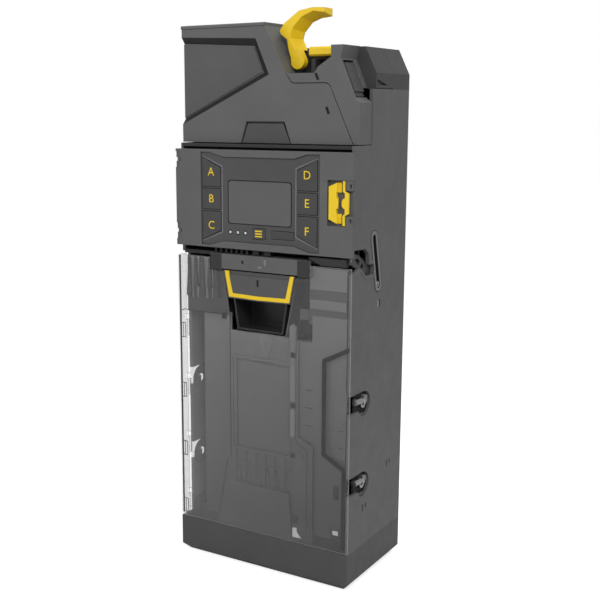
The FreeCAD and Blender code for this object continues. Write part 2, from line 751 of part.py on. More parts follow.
def latch_bar():
    x0 = latch_x0 + 10.4
    half_shape = [(0.0, 14.0), (1.6, 14.0), (1.6, 7.7), (4.2, 6.4)]
    knob = [(0.0, 7.6), (1.5, 6.4), (1.5, 3.6), (0.0, 2.6), (-0.6, 1.4)]
    right = half_shape + [(x, -z) for x, z in reversed(half_shape)]
    left = [(x, -z) for x, z in knob] + [(x, z) for x, z in reversed(knob)]
    points = [(x0 + x, latch_z + z) for x, z in right + left]
    return prism_xz(points, front, front + 1.5)


def latch_cheeks():
    """Grey blocks of the frame beside the ends of the latch bar."""
    x0 = latch_x0 + 12.6
    blocks = [box(x0, x0 + 4.6, front + 0.3, front + 3.0, latch_z + low, latch_z + high)
              for low, high in ((-14.7, -8.0), (8.0, 14.6))]
    holes = [box(x0 + 2.8, x0 + 4.0, front - 1, front + 2.0, latch_z + z - 1.3, latch_z + z + 1.3)
             for z in (-10.8, 10.8)]
    return [block.cut(holes) for block in blocks]


# ---- cassette -----------------------------------------------------------------------------------
block_edge = 1.0                           # web outside the outermost tubes
block_x0 = -29.0
block_x1 = block_x0 + 2 * block_edge + 2 * tube_radius + 2 * tube_pitch
block_y0 = front + 6.1
block_y1 = block_y0 + 2 * block_edge + 2 * tube_radius + tube_row_pitch
block_top = bay_top - 51.5
rail_x = 24.2                              # where the front panel meets the side rail
panel_y0 = front + 4.1
trim_y0 = front + 2.1
cassette_foot = band_height + 1.0
handle_x = -1.2                            # middle of the handle
pocket = (handle_x - 22.7, handle_x + 22.2, bay_top - 48.5, bay_top - 8.4)
handle_top, handle_low = bay_top - 8.2, bay_top - 26.8
handle_half_top, handle_half_low = 28.2, 24.7
trim_edge = 0.9
trim_width = 2.9
ribs_low, ribs_high = band_height + 34.6, band_height + 57.6
window_low, window_high = ribs_high + 4.6, block_top - 18.5


def cassette_block():
    body = box(block_x0, block_x1, block_y0, block_y1, block_foot, block_top)
    bores = [along_z(x, y, 0, acc_top, tube_radius + fit_gap) for x, y in tube_places()]
    return body.cut(bores)


def coin_tubes():
    tubes = []
    for x, y in tube_places():
        tube = along_z(x, y, block_foot, block_top - 0.2, tube_radius)
        tubes.append(tube.cut(along_z(x, y, block_foot - 1, block_top, tube_radius - tube_sheet)))
    return group(tubes)


def front_panel():
    plate = box(block_x0, rail_x, panel_y0, block_y0, cassette_foot, block_top + 1.0)
    window = box(-22.0, 20.8, panel_y0 - 1, panel_y0 + 1.2, window_low - 2.3, window_high)
    ledge = box(-25.4, rail_x - 2.5 - small, panel_y0 - 0.9, panel_y0, window_high + 0.9, window_high + 2.9)
    left_frame = box(-25.4, -24.6, panel_y0 - 0.5, panel_y0, ribs_high, window_high + 0.9)
    x0 = -23.3
    pitch = (rail_x - x0) / 6
    middle = ribs_high - 9.0
    bar = box(x0, rail_x, panel_y0 - 0.7, panel_y0, middle, middle + 1.2)
    raised = [plate.cut(window), ledge, left_frame, bar]
    for i in range(6):
        x = x0 + pitch * i
        raised.append(box(x, x + 1.4, panel_y0 - 0.9, panel_y0, ribs_low, ribs_high))
        wedge = [(x + 2.6, middle), (x + 5.2, ribs_low + 1.6), (x + 3.8, ribs_low + 1.6)]
        raised.append(prism_xz(wedge, panel_y0 - 0.6, panel_y0))
    return joined(raised + [exit_plate(), level_strip()])


def exit_plate():
    points = [(-37.6, cassette_foot), (rail_x, cassette_foot), (rail_x - 2.8, ribs_low - 0.8),
              (-24.6, ribs_low - 0.2), (-29.4, ribs_low - 3.0)]
    return prism_xz(points, trim_y0 - 0.2, panel_y0 + 0.5)


def side_rail():
    kink = window_low + 10.8
    points = [(rail_x - 2.5, block_top + 9.6), (rail_x, block_top + 11.4), (rail_x + 2.5, block_top + 9.6),
              (rail_x + 2.5, kink), (rail_x + 11.2, kink - 6.8), (rail_x + 11.2, cassette_foot),
              (rail_x + 0.5, cassette_foot), (rail_x + 0.5, kink - 3.4), (rail_x - 2.5, kink - 0.4)]
    rail = prism_xz(points, trim_y0, panel_y0)
    steps = [kink - 3.0, kink + 21.4, window_high + 1.1]
    bites = [box(rail_x - 3.2, rail_x, trim_y0 - 1, trim_y0 + 1.0, z - 2.4, z + 2.4) for z in steps]
    studs = [box(x, x + 1.4, trim_y0 - 0.5, trim_y0, z, z + 4.0)
             for x, z in ((rail_x + 3.8, kink - 11.4), (rail_x + 7.8, kink - 13.4))]
    return joined([rail.cut(bites)] + studs)


def level_strip():
    kink = window_low + 10.8
    x0, x1 = rail_x + 2.6, rail_x + 11.3
    points = [(x0, block_top), (x0 + 1.4, block_top), (x0 + 1.4, kink + 2.8), (x1 + 4.3, kink - 3.6),
              (x1 + 4.3, cassette_foot), (x1, cassette_foot), (x1, kink - 6.6), (x0, kink + 0.2)]
    strip = prism_xz(points, trim_y0 + 0.5, panel_y0 + 0.5)
    backing = box(rail_x - 1.0, block_x1, panel_y0 + 0.2, block_y0, cassette_foot, block_top)
    chute_plate = box(block_x1 - 1.0, inner - 2.0, panel_y0 + 0.2, panel_y0 + 1.6,
                      cassette_foot + 6.0, block_top + 18.0)
    return joined([strip, backing, chute_plate])


def sorter_head():
    y0 = pocket_back + small
    body = box(block_x0, block_x1, y0, block_y1, block_top, bay_top - 1.0)
    bores = [along_z(x, y, block_top - 1, block_top + 22.0, tube_radius - tube_sheet)
             for x, y in tube_places()]
    channel = box(block_x0 + 4, block_x1 - 4, y0 + 4, block_y1 - 4, block_top + 22, bay_top)
    return body.cut(bores + [channel]).removeSplitter()


pocket_back = front + 22.0


def finger_pocket():
    x0, x1, z0, z1 = pocket
    t = 1.3
    taper = 5.8
    outer = prism_xz([(x0 + 4.2, z0), (x1 - 4.2, z0), (x1 + taper - 4.2, z1), (x0 - taper + 4.2, z1)],
                     trim_y0, pocket_back)
    hollow = prism_xz([(x0 + 4.2 + t, z0 + t), (x1 - 4.2 - t, z0 + t), (x1 + taper - 4.2 - t, z1 - t),
                       (x0 - taper + 4.2 + t, z1 - t)], trim_y0 - 1, pocket_back - t)
    return outer.cut(hollow)


def handle_outline(inset):
    x0, x1 = handle_x - handle_half_low + inset, handle_x + handle_half_low - inset
    top0, top1 = handle_x - handle_half_top + inset, handle_x + handle_half_top - inset
    rise = inset * 0.9
    return [(x0, handle_low + rise), (handle_x, handle_low - 0.5 + rise), (x1, handle_low + rise),
            (top1, handle_top), (top0, handle_top)]


def handle_band():
    """Room for the coloured band, which lies inside a narrow rim of the handle."""
    outer = prism_xz(handle_outline(trim_edge), front - 1, front + 1.3)
    return outer.cut(prism_xz(handle_outline(trim_edge + trim_width), front - 2, front + 2))


def cassette_handle():
    plate = prism_xz(handle_outline(0), front + 0.1, trim_y0).cut(handle_band())
    slot_x = handle_x - 1.0
    slot = rounded_plate(slot_x - 0.8, slot_x + 0.8, handle_top - 9.4, handle_top - 4.6,
                         front - 1, front + 4, 0.7)
    lip = handle_half_top - 3.4
    relief = box(handle_x - lip, handle_x + lip, front - 1, front + 1.6, handle_top - 2.6, handle_top + 1)
    return plate.cut([slot, relief])


def handle_trim():
    band = handle_band().common(box(-half, half, front, front + 1.3, 0, acc_top))
    return band.cut(box(-half, half, front - 1, front + 2, handle_top - small, acc_top)).removeSplitter()


def top_bar():
    low, high = bay_top - 7.2, bay_top + 3.0
    x0, x1 = handle_x - 30.1, handle_x + 29.6
    end = 9.3
    bar = box(x0, x1, front + 0.3, front + 4.6, low, high)
    ends = [box(a, b, front + 0.5, front + 2.6, low - 1.2, high) for a, b in ((x0 - end, x0), (x1, x1 + end))]
    feet = [box(x0, block_x0, front + 4.6, front + 5.0, low, bay_top - 1.0),
            box(x1 + 5.0, x1 + end, front + 2.6, front + 6.0, low, bay_top - 1.0)]
    holes = [box(x - 1.0, x + 1.0, front - 1, front + 2.0, z - 1.0, z + 1.0)
             for x, z in ((x0 - 5.8, low + 5.2), (x1 + 4.6, low + 4.0), (handle_x - 13.2, low + 5.4),
                          (handle_x + 4.6, low + 5.4))]
    return joined([bar] + ends + feet).cut(holes)


def fin_guide():
    x0, x1 = -inner + run_gap + 1.6, block_x0
    low = bay_top - 40.0
    plate = box(x0, x1, front + 5.0, front + 7.0, low, bay_top - 1.0)
    flange = box(x1 - 1.2, x1, front + 5.0, pocket_back + 3.0, low, bay_top - 1.0)
    fins = []
    pitch = (x1 - x0 - 2.0) / 5.6
    for i in range(5):
        x = x0 + 2.6 + pitch * i
        foot = low + 11.0 if i % 2 == 0 else low + 18.0
        fins.append(prism_xz([(x - 0.5, bay_top - 2.0), (x + 0.5, bay_top - 2.0), (x + 1.9, foot),
                              (x - 1.9, foot)], front + 2.8, front + 5.0))
    band = box(x0, x1, front + 4.4, front + 5.0, bay_top - 22.6, bay_top - 21.4)
    bolt = box(x1 - 4.0, x1 - 1.6, front + 4.2, front + 5.0, low + 0.6, low + 3.4)
    return joined([plate, flange, band, bolt] + fins)


def sorting_screens():
    return group([fin_guide(), bay_screen()])


def bay_screen():
    x0, x1 = block_x1 - 4.0, inner - run_gap - 1.6
    low = bay_top - 40.0
    plate = box(x0, x1, front + 6.0, front + 8.0, low, bay_top - 1.0)
    flange = box(block_x1, block_x1 + 1.2, front + 6.0, pocket_back + 3.0, low, bay_top - 1.0)
    band = box(x0 + 5.0, x1, front + 5.2, front + 6.0, low + 13.4, low + 19.4)
    return joined([plate, flange, band])


def side_plate(x_wall, x_block, away, high):
    """x_wall is the plate's outer face, x_block the block's side, away points from the wall to the block."""
    def slab(a, b, *rest):
        return box(min(a, b), max(a, b), *rest)

    x_in = x_wall + 1.1 * away
    peg_end = x_wall - (wall + small) * away
    low = cassette_foot + 10.6
    pieces = [slab(x_wall, x_in, front + cover_return + 1.4, key_disc_y + 9.0, low, high),
              slab(x_in, x_block, key_disc_y + 6.0, key_disc_y + 7.4, high - 38.0, high - 1.0),
              slab(x_in, x_block, key_disc_y + 6.0, key_disc_y + 7.4, low, low + 8.0)]
    x0, x1 = min(x_wall, peg_end), max(x_wall, peg_end)
    pieces += [along_x(key_disc_y + 2.0, z + key_rise, x0, x1, peg_radius) for z in key_slots]
    return pieces


def side_plate_right():
    return joined(side_plate(inner - run_gap, block_x1, -1, bay_top - 14.0))


def side_plate_left():
    x, y = cover_axis
    x_wall = -inner + run_gap
    pieces = side_plate(x_wall, block_x0, 1, bay_top - 1.0)
    pieces.append(box(x_wall, x_wall + 1.1, y - 1.6, front + cover_return + 1.4,
                      cassette_foot + 10.6, bay_top - 1.0))
    for z0, z1 in cover_knuckles():
        pieces.append(box(x, x_wall + 0.5, y - 1.0, y + 1.0, z1 + 0.3, z1 + 4.0))
        pieces.append(along_z(x, y, z1 + 0.3, z1 + 4.0, cover_knuckle_radius))
        pieces.append(along_z(x, y, z0 + 1.0, z1 + 4.0, pin_radius))
    return joined(pieces)


cover_axis = (-half + 1.6, front + cover_return - 1.6)
cover_knuckle_radius = 1.4


def cover_knuckles():
    low, high = cassette_foot + 0.8, bay_top - 60.0
    return [(low + (high - low) / 3 * i, low + (high - low) / 3 * i + 12.0) for i in range(4)]


def clear_cover():
    x0, x1 = -half, side
    x, y = cover_axis
    low, high = band_height + 0.5, bay_top
    sheet = box(x0, x1, front, cover_back, low, high)
    flange = box(x0, x0 + cover_sheet, front, y + 0.9, low, high)
    foot, knee = pocket[2] - 0.6, handle_top - 0.8
    near, far = handle_half_top + 0.8, handle_half_top + 11.3
    cutout = prism_xz([(pocket[0] - 0.1, foot), (pocket[1] - 1.4, foot), (handle_x + near, knee),
                       (handle_x + far, knee), (handle_x + far, high + 1), (handle_x - far - 1.0, high + 1),
                       (handle_x - far - 1.0, knee), (handle_x - near, knee)], front - 1, cover_back + 1)
    knuckles = [along_z(x, y, z0, z1, cover_knuckle_radius) for z0, z1 in cover_knuckles()]
    clear = [box(x0 - 1, x0 + 4.0, y - 2.0, y + 3.0, z1, z1 + 4.3) for z0, z1 in cover_knuckles()]
    hole = along_z(x, y, low - 1, high + 1, pin_radius + fit_gap)
    return joined([joined([sheet, flange]).cut([cutout] + clear)] + knuckles).cut(hole).removeSplitter()


# ---- side wall pieces ---------------------------------------------------------------------------
link_axis = (front + 5.6, bay_top + 4.6)
link_x0, link_x1 = inner - 1.6, inner - run_gap


def lock_link():
    points = [(front + 3.8, bay_top + 10.3), (front + 15.5, bay_top + 7.2), (front + 26.0, bay_top + 1.0),
              (front + 32.4, bay_top + 0.4), (front + 32.4, bay_top - 7.0), (front + 20.8, bay_top - 6.2),
              (front + 6.2, bay_top + 1.8), (front + 3.8, bay_top + 2.2)]
    windows = [[(10.4, 4.6), (14.4, 5.4), (18.0, 2.8), (16.0, 0.2)],
               [(20.2, 1.6), (23.2, -1.0), (21.2, -3.4), (18.0, -1.4)]]
    plate = prism_yz(points, link_x0, link_x1)
    cuts = [prism_yz([(front + y, bay_top + z) for y, z in window], link_x0 - 1, link_x1 + 1)
            for window in windows]
    cuts.append(along_x(link_axis[0], link_axis[1], link_x0 - 1, link_x1 + 1, pin_radius + fit_gap))
    return plate.cut(cuts)


def link_pin():
    return along_x(link_axis[0], link_axis[1], link_x0 - run_gap - 2.0, link_x1, pin_radius)


def release_peg():
    place = slot_foot + (slot_top - slot_foot).normalize() * 0.3
    peg = along_x(place.y, place.z, inner - 1.2, side, slot_radius - 0.3)
    return peg.cut(along_x(place.y, place.z, side - 1.0, side + 1, 0.8))


board_low, board_high = band_height + 36.0, bay_top - 8.0


# ---- drive and electronics ----------------------------------------------------------------------
def payout_pusher():
    z0, z1 = deck_top + 0.3, block_foot - 0.5
    plate = box(block_x0, block_x1 - 2, block_y0 + 1, block_y1 + 1.5, z0, z1)
    holes = [along_z(x, y, z0 - 1, z1 + 1, tube_radius - tube_sheet + 0.3) for x, y in tube_places()]
    post = box(block_x0, block_x1 - 2, block_y1 + 1.5, block_y1 + 3.5, z0, z1 + 7.0)
    rods = [along_y(x, deck_top + 6.4, block_y1 + 3.5, block_y1 + 14.5, 1.4) for x in solenoid_places()]
    return joined([plate.cut(holes), post] + rods)


def solenoid_places():
    return [block_x0 + 12.0, block_x1 - 14.0]


def payout_solenoids():
    y0 = block_y1 + 3.5 + pusher_travel - 4.0
    coils = []
    for x in solenoid_places():
        coil = box(x - 7.0, x + 7.0, y0 + 4.4, back_inner - small, deck_top, deck_top + 13.0)
        coils.append(coil.cut(along_y(x, deck_top + 6.4, y0, back_inner, 1.4 + fit_gap)))
    return group(coils)


def control_board():
    """The board and the four posts soldered to its back, which stand on the back wall."""
    board = box(-inner + 8, inner - 8, back_inner - 5.0, back_inner - 3.4, board_low, board_high)
    places = [(x, z) for x in (-inner + 14, inner - 14) for z in (board_low + 8.0, board_high - 8.0)]
    return joined([board] + [along_y(x, z, back_inner - 3.6, back_inner, 3.0) for x, z in places])


def power_supply():
    middle = (board_low + board_high) / 2
    return box(-inner + 20, inner - 24, block_y1 + 4.0, back_inner - 5.0, middle - 30.0, middle + 30.0)


def harness_socket():
    body = box(socket_x - 10.2, socket_x + 10.2, back_inner - 8.0, back, socket_z - 6.8, socket_z + 6.8)
    mouth = box(socket_x - 8.4, socket_x + 8.4, back - 6.0, back + 1, socket_z - 5.4, socket_z + 5.4)
    tongue = box(socket_x - 6.0, socket_x + 6.0, back - 6.5, back - 1.0, socket_z - 0.6, socket_z + 0.6)
    return joined([body.cut(mouth), tongue])


# ---- build --------------------------------------------------------------------------------------
parts = {
    "housing_left": housing_left, "housing_right": housing_right, "housing_back": housing_back,
    "base_tray": base_tray, "base_deck": base_deck,
    "inner_frame": inner_frame, "rear_cap": rear_cap, "base_screws": base_screws,
    "acceptor_cover": acceptor_cover, "shoulder_cover": shoulder_cover, "recess_panel": recess_panel,
    "label_tab": label_tab, "top_lid": top_lid, "side_flap": side_flap, "pivot_pins": pivot_pins,
    "return_lever": return_lever, "lever_bracket": lever_bracket, "cross_bar": cross_bar,
    "coin_rail": coin_rail, "sensor_coils": sensor_coils, "accept_gate": accept_gate,
    "gate_solenoid": gate_solenoid, "acceptor_board": acceptor_board,
    "keypad_frame": keypad_frame, "keypad_panel": keypad_panel, "door_hinge_pins": hinge_pins,
    "display_window": display_window, "display_module": display_module, "status_lamps": status_lamps,
    "keypad_board": keypad_board, "latch_plate": latch_plate, "latch_bar": latch_bar,
    "cassette_block": cassette_block, "coin_tubes": coin_tubes, "front_panel": front_panel,
    "side_rail": side_rail, "sorter_head": sorter_head, "finger_pocket": finger_pocket,
    "cassette_handle": cassette_handle, "handle_trim": handle_trim, "top_bar": top_bar,
    "sorting_screens": sorting_screens, "side_plate_left": side_plate_left,
    "side_plate_right": side_plate_right, "clear_cover": clear_cover, "lock_link": lock_link,
    "release_peg": release_peg, "payout_pusher": payout_pusher, "payout_solenoids": payout_solenoids,
    "control_board": control_board, "power_supply": power_supply, "harness_socket": harness_socket,
}
for name, make in parts.items():
    save(name, make())
for row in range(3):
    for right in (False, True):
        save("button_" + "abcdef"[row + (3 if right else 0)], letter_button(row, right))
for name in small_keys:
    save(name, round_button(name))
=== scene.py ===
# %% [markdown]
# # A coin changer, finished over its CAD frame
# The changer hangs in a vending machine: coins drop into the funnel at the top, pass the sensors,
# and stack in six tubes in a cassette behind a clear cover.  The CAD frame already gives every hard
# part its shape and place.  Here those parts get their finishes, and the small printed and moulded
# things that CAD leaves out are modelled on top, in thin pieces that ride on the same bodies.

import json
import math

import bmesh
import bpy
from mathutils import Matrix, Vector


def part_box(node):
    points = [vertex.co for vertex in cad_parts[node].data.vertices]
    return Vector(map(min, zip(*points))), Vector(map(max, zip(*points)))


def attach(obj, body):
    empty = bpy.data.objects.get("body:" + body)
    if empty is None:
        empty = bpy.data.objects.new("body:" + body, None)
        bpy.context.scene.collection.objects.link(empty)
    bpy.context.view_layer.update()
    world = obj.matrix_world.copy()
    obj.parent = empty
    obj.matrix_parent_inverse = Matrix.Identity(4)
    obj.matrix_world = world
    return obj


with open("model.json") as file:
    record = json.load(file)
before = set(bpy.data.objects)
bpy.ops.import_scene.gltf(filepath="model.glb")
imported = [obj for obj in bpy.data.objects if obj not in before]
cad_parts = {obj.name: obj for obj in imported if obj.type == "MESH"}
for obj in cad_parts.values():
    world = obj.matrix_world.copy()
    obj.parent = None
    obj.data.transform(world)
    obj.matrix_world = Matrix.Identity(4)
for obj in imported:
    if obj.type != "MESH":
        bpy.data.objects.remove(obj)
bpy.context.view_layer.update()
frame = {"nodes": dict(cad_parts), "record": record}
nodes = frame["nodes"]
mm = 0.001

# %% [markdown]
# ## The camera
# The view is three-quarters from the right and slightly above, with a long lens so that the tall
# body keeps nearly parallel sides.  The direction is built from a turn and a tilt, which is easier
# to adjust than a point to look at.

# %% Camera
camera_place = Vector((0.3602, -0.6057, 0.3184))
camera_turn, camera_tilt = math.radians(31.89), math.radians(11.08)
lens = bpy.data.cameras.new("studio_camera")
lens.lens, lens.sensor_width = 61.1, 36.0
lens.shift_x, lens.shift_y = 0.0485, 0.0155
camera = bpy.data.objects.new("studio_camera", lens)
camera.location = camera_place
camera.rotation_euler = (math.pi / 2 - camera_tilt, 0.0, camera_turn)
bpy.context.scene.collection.objects.link(camera)
bpy.context.scene.camera = camera
print("camera at", tuple(round(v, 3) for v in camera_place))

# %% [markdown]
# ## Floor and light
# A pale floor catches a soft shadow.  A bright even sky stands in for the walls of a light tent,
# and three large panels model the shape: a key from the front right, a broad fill from the left,
# and one over the top that draws the upper edges.  A dark object on pure white is usually lit less
# than its background, so the sky and the paper are brighter to rays that come straight from the
# camera than to those that light the changer.  A Light Path node tells the two kinds apart.

# %% Floor
floor_mesh = bpy.data.meshes.new("floor")
sweep = bmesh.new()
bmesh.ops.create_grid(sweep, x_segments=1, y_segments=1, size=60.0)
bmesh.ops.translate(sweep, verts=sweep.verts, vec=(0.0, 0.0, -0.0004))
sweep.to_mesh(floor_mesh)
sweep.free()
floor = bpy.data.objects.new("floor", floor_mesh)
bpy.context.scene.collection.objects.link(floor)
paper = bpy.data.materials.new("pale_paper")
paper.use_nodes = True
paper_shader = paper.node_tree.nodes["Principled BSDF"]
paper_shader.inputs["Base Color"].default_value = (0.6, 0.6, 0.6, 1.0)
paper_shader.inputs["Emission Color"].default_value = (1.0, 1.0, 1.0, 1.0)
seen = paper.node_tree.nodes.new("ShaderNodeLightPath")
glow = paper.node_tree.nodes.new("ShaderNodeMapRange")
glow.inputs["To Max"].default_value = 0.68
paper.node_tree.links.new(seen.outputs["Is Camera Ray"], glow.inputs["Value"])
paper.node_tree.links.new(glow.outputs["Result"], paper_shader.inputs["Emission Strength"])
paper_shader.inputs["Roughness"].default_value = 0.9
floor.data.materials.append(paper)
print("floor is", round(floor.dimensions.x, 1), "m wide")


# %% Lights
def light_panel(name, place, aim, size, power):
    """A square soft box of that size in metres, turned to face a point."""
    lamp = bpy.data.lights.new(name, "AREA")
    lamp.shape, lamp.size, lamp.energy = "SQUARE", size, power
    holder = bpy.data.objects.new(name, lamp)
    holder.location = place
    holder.rotation_euler = (Vector(aim) - Vector(place)).to_track_quat("-Z", "Y").to_euler()
    bpy.context.scene.collection.objects.link(holder)


middle = (0.0, 0.0, 0.2)
light_panel("key_light", (0.68, -0.78, 0.95), middle, 0.5, 8.8)
light_panel("fill_light", (-1.2, -1.1, 0.9), middle, 0.8, 6.4)
light_panel("top_light", (0.1, 0.3, 1.2), middle, 0.6, 4.6)
world = bpy.data.worlds.new("light_tent")
bpy.context.scene.world = world
world.use_nodes = True
tent = world.node_tree
backdrop = tent.nodes["Background"]
backdrop.inputs["Color"].default_value = (1.0, 1.0, 1.0, 1.0)
rays = tent.nodes.new("ShaderNodeLightPath")
strength = tent.nodes.new("ShaderNodeMapRange")
tent.links.new(rays.outputs["Is Camera Ray"], strength.inputs["Value"])
strength.inputs["To Min"].default_value = 0.5
strength.inputs["To Max"].default_value = 1.0
tent.links.new(strength.outputs["Result"], backdrop.inputs["Strength"])
bpy.context.scene.view_settings.view_transform = "Standard"


# %% [markdown]
# ## How a finish is put together
# Every finish here is a Principled shader fed by a few procedural nodes on Object coordinates, so
# the grain has the same size on every part.  Two things make plastic read as plastic: a very fine
# moulded texture that breaks the highlight, and edges that are rounded and a little paler.  The
# paler edges are a painted highlight that also stands for rubbed wear.  The Bevel node gives both
# without touching the CAD meshes.

# %% Node helpers
def tone(level):
    """A grey level, or three levels, from 0 to 255, as the linear colour Blender wants."""
    def linear(v):
        v /= 255.0
        return v / 12.92 if v <= 0.04045 else ((v + 0.055) / 1.055) ** 2.4
    levels = level if isinstance(level, tuple) else (level, level, level)
    return tuple(linear(v) for v in levels) + (1.0,)


def start_finish(name, **sockets):
    """A new material; its Principled sockets are named with underscores for spaces."""
    finish = bpy.data.materials.new(name)
    finish.use_nodes = True
    shader = finish.node_tree.nodes["Principled BSDF"]
    for socket, value in sockets.items():
        shader.inputs[socket.replace("_", " ")].default_value = value
    return finish, finish.node_tree, shader


def add(tree, kind, links=(), **settings):
    """Adds a node; settings are its properties or socket values, links feed its sockets."""
    node = tree.nodes.new("ShaderNode" + kind)
    for key, value in settings.items():
        if hasattr(node, key):
            setattr(node, key, value)
        else:
            node.inputs[key.replace("_", " ")].default_value = value
    for socket, source in dict(links).items():
        tree.links.new(source, node.inputs[socket])
    return node


def noise(tree, scale, detail=4.0, rough=0.55, stretch=None):
    """Noise on Object coordinates; scale counts features per metre."""
    place = add(tree, "TexCoord").outputs["Object"]
    if stretch:
        mapping = add(tree, "Mapping", {"Vector": place})
        mapping.inputs["Scale"].default_value = stretch
        place = mapping.outputs["Vector"]
    return add(tree, "TexNoise", {"Vector": place}, Scale=scale, Detail=detail, Roughness=rough)


def spread(tree, source, low, high, lo=0.3, hi=0.7):
    """Maps a value from lo..hi onto low..high."""
    node = add(tree, "MapRange", {"Value": source})
    for socket, value in (("From Min", lo), ("From Max", hi), ("To Min", low), ("To Max", high)):
        node.inputs[socket].default_value = value
    return node.outputs["Result"]


def blend_colour(tree, factor, first, second):
    """Mixes two colours, or a node's colour with a fixed one, by a factor."""
    node = add(tree, "Mix", data_type="RGBA")
    tree.links.new(factor, node.inputs[0])
    for slot_number, colour in ((6, first), (7, second)):
        if isinstance(colour, tuple):
            node.inputs[slot_number].default_value = colour
        else:
            tree.links.new(colour, node.inputs[slot_number])
    return node.outputs[2]


def rounded_highlit_worn_edges(tree, colour, paler, radius):
    """The rounded normal of nearby edges, and the colour made paler along them, a painted highlight that
    also stands for rubbed wear.
    """
    bevel = add(tree, "Bevel", Radius=radius)
    bevel.samples = 4
    flat = add(tree, "NewGeometry").outputs["Normal"]
    match = add(tree, "VectorMath", operation="DOT_PRODUCT")
    tree.links.new(bevel.outputs["Normal"], match.inputs[0])
    tree.links.new(flat, match.inputs[1])
    # Painted highlight and wear: the colour turns paler where the bevelled normal leans away from the flat
    # one.
    worn_and_highlit_edge = spread(tree, match.outputs["Value"], 1.0, 0.0, 0.78, 0.985)
    return bevel.outputs["Normal"], blend_colour(tree, worn_and_highlit_edge, colour, paler)


print("finish helpers ready")

# %% [markdown]
# ## Moulded plastics
# The housing is glass-filled nylon with a spark-eroded texture: matte, with a tight grain of about
# a third of a millimetre and slow cloudy changes in tone where the melt flowed.  One helper makes
# all the greys and the yellow, and each part family gets its own tone, grain and gloss.


# %% Moulded plastic
def moulded(name, level, rough=0.5, grain=0.03, edge=1.35, patch=0.06, radius=0.5, foot_shade=1.0):
    """Textured moulded plastic.  grain is the bump height in mm, radius the edge radius in mm, edge
    how much paler the edges turn, a painted highlight that also stands for wear, and foot_shade how
    much of the tone is left 40 mm above the ground, where the painted shade that darkens the lower
    part is full."""
    base = tone(level)
    finish, tree, shader = start_finish(name, Specular_IOR_Level=0.42)
    cloud = noise(tree, 38.0, 3.0)
    darker = tuple(c * (1.0 - patch) for c in base[:3]) + (1.0,)
    lighter = tuple(min(1.0, c * (1.0 + patch)) for c in base[:3]) + (1.0,)
    colour = blend_colour(tree, spread(tree, cloud.outputs["Fac"], 0.0, 1.0), darker, lighter)
    # Paler edges: a painted highlight that also stands for rubbed wear.
    worn_and_highlit_edge = tuple(min(1.0, c * edge) for c in base[:3]) + (1.0,)
    normal, colour = rounded_highlit_worn_edges(tree, colour, worn_and_highlit_edge, radius * mm)
    # Painted shade: the colour darkens towards the bottom, fully at 40 mm and fading out by 190 mm.
    if foot_shade < 1.0:
        place = add(tree, "TexCoord").outputs["Object"]
        height = add(tree, "SeparateXYZ", {"Vector": place}).outputs["Z"]
        painted_foot_shade = tuple(c * foot_shade for c in base[:3]) + (1.0,)
        colour = blend_colour(tree, spread(tree, height, 1.0, 0.0, 0.04, 0.19), colour, painted_foot_shade)
    tree.links.new(colour, shader.inputs["Base Color"])
    texture = noise(tree, 2600.0, 2.0, 0.6)
    bump = add(tree, "Bump", {"Height": texture.outputs["Fac"], "Normal": normal},
               Strength=0.5, Distance=grain * mm)
    tree.links.new(bump.outputs["Normal"], shader.inputs["Normal"])
    wear = noise(tree, 90.0, 5.0, 0.65)
    tree.links.new(spread(tree, wear.outputs["Fac"], rough - 0.06, rough + 0.08),
                   shader.inputs["Roughness"])
    return finish


finishes = {
    "housing_grey": moulded("housing_grey", 86, 0.5),
    "panel_grey": moulded("panel_grey", 68, 0.46),
    "cap_grey": moulded("cap_grey", 60, 0.5),
    "dark_grey": moulded("dark_grey", 42, 0.55, edge=1.6),
    "recess_grey": moulded("recess_grey", 76, 0.52),
    # The keys' high edge value paints a strong highlight along their rims.
    "key_grey": moulded("key_grey", 62, 0.4, grain=0.015, edge=2.2),
    # pale_grey and cassette_grey darken towards the foot, a painted shade.
    "pale_grey": moulded("pale_grey", 112, 0.45, foot_shade=0.12),
    "cassette_grey": moulded("cassette_grey", 110, 0.45, foot_shade=0.22),
    # A lit copy of the grey: a painted highlight for key lips, the slot lip, chute bars, rail beads, coin
    # fins and the bar's clip.
    "highlight_grey": moulded("highlight_grey", 112, 0.4, grain=0.01),
    # The finger pocket is painted near black for the shade in its hollow, and its high edge value paints
    # glints on its rim.
    "pocket_shade_black": moulded("pocket_shade_black", 36, 0.35, grain=0.01, edge=3.5),
    "shade_black": moulded("shade_black", 9, 0.7, edge=1.0),
    "signal_yellow": moulded("signal_yellow", (228, 192, 30), 0.38, 0.012, 1.12, 0.04),
}
print("moulded finishes:", sorted(finishes))

# %% [markdown]
# ### The acceptor cover's shaded recess
# The cover's front has one large recess, and its slanted sides are darkened nearly to black beside
# the textured faces: a painted shade for the light they turn away from.  The finish finds those
# sides by their slope: they are the only ones on this cover that lean partly forwards.

# %% Recess cover finish
recess = finishes["housing_grey"].copy()
recess.name = "recess_cover_painted_shade"
tree = recess.node_tree
shader = tree.nodes["Principled BSDF"]
lean = add(tree, "SeparateXYZ", {"Vector": add(tree, "NewGeometry").outputs["True Normal"]})
forwards = add(tree, "Math", {0: lean.outputs["Y"]}, operation="ABSOLUTE")
steep = spread(tree, forwards.outputs[0], 0.0, 1.0, 0.2, 0.3)
flat = spread(tree, forwards.outputs[0], 1.0, 0.0, 0.93, 0.97)
painted_bevel_shade = add(tree, "Math", {0: steep, 1: flat}, operation="MULTIPLY")
colour = shader.inputs["Base Color"].links[0].from_socket
# Painted shade: the slanted recess sides are mixed towards near black.
tree.links.new(blend_colour(tree, painted_bevel_shade.outputs[0], colour, tone(16)), shader.inputs["Base Color"])
finishes["recess_cover_painted_shade"] = recess
print("recess cover finish ready")


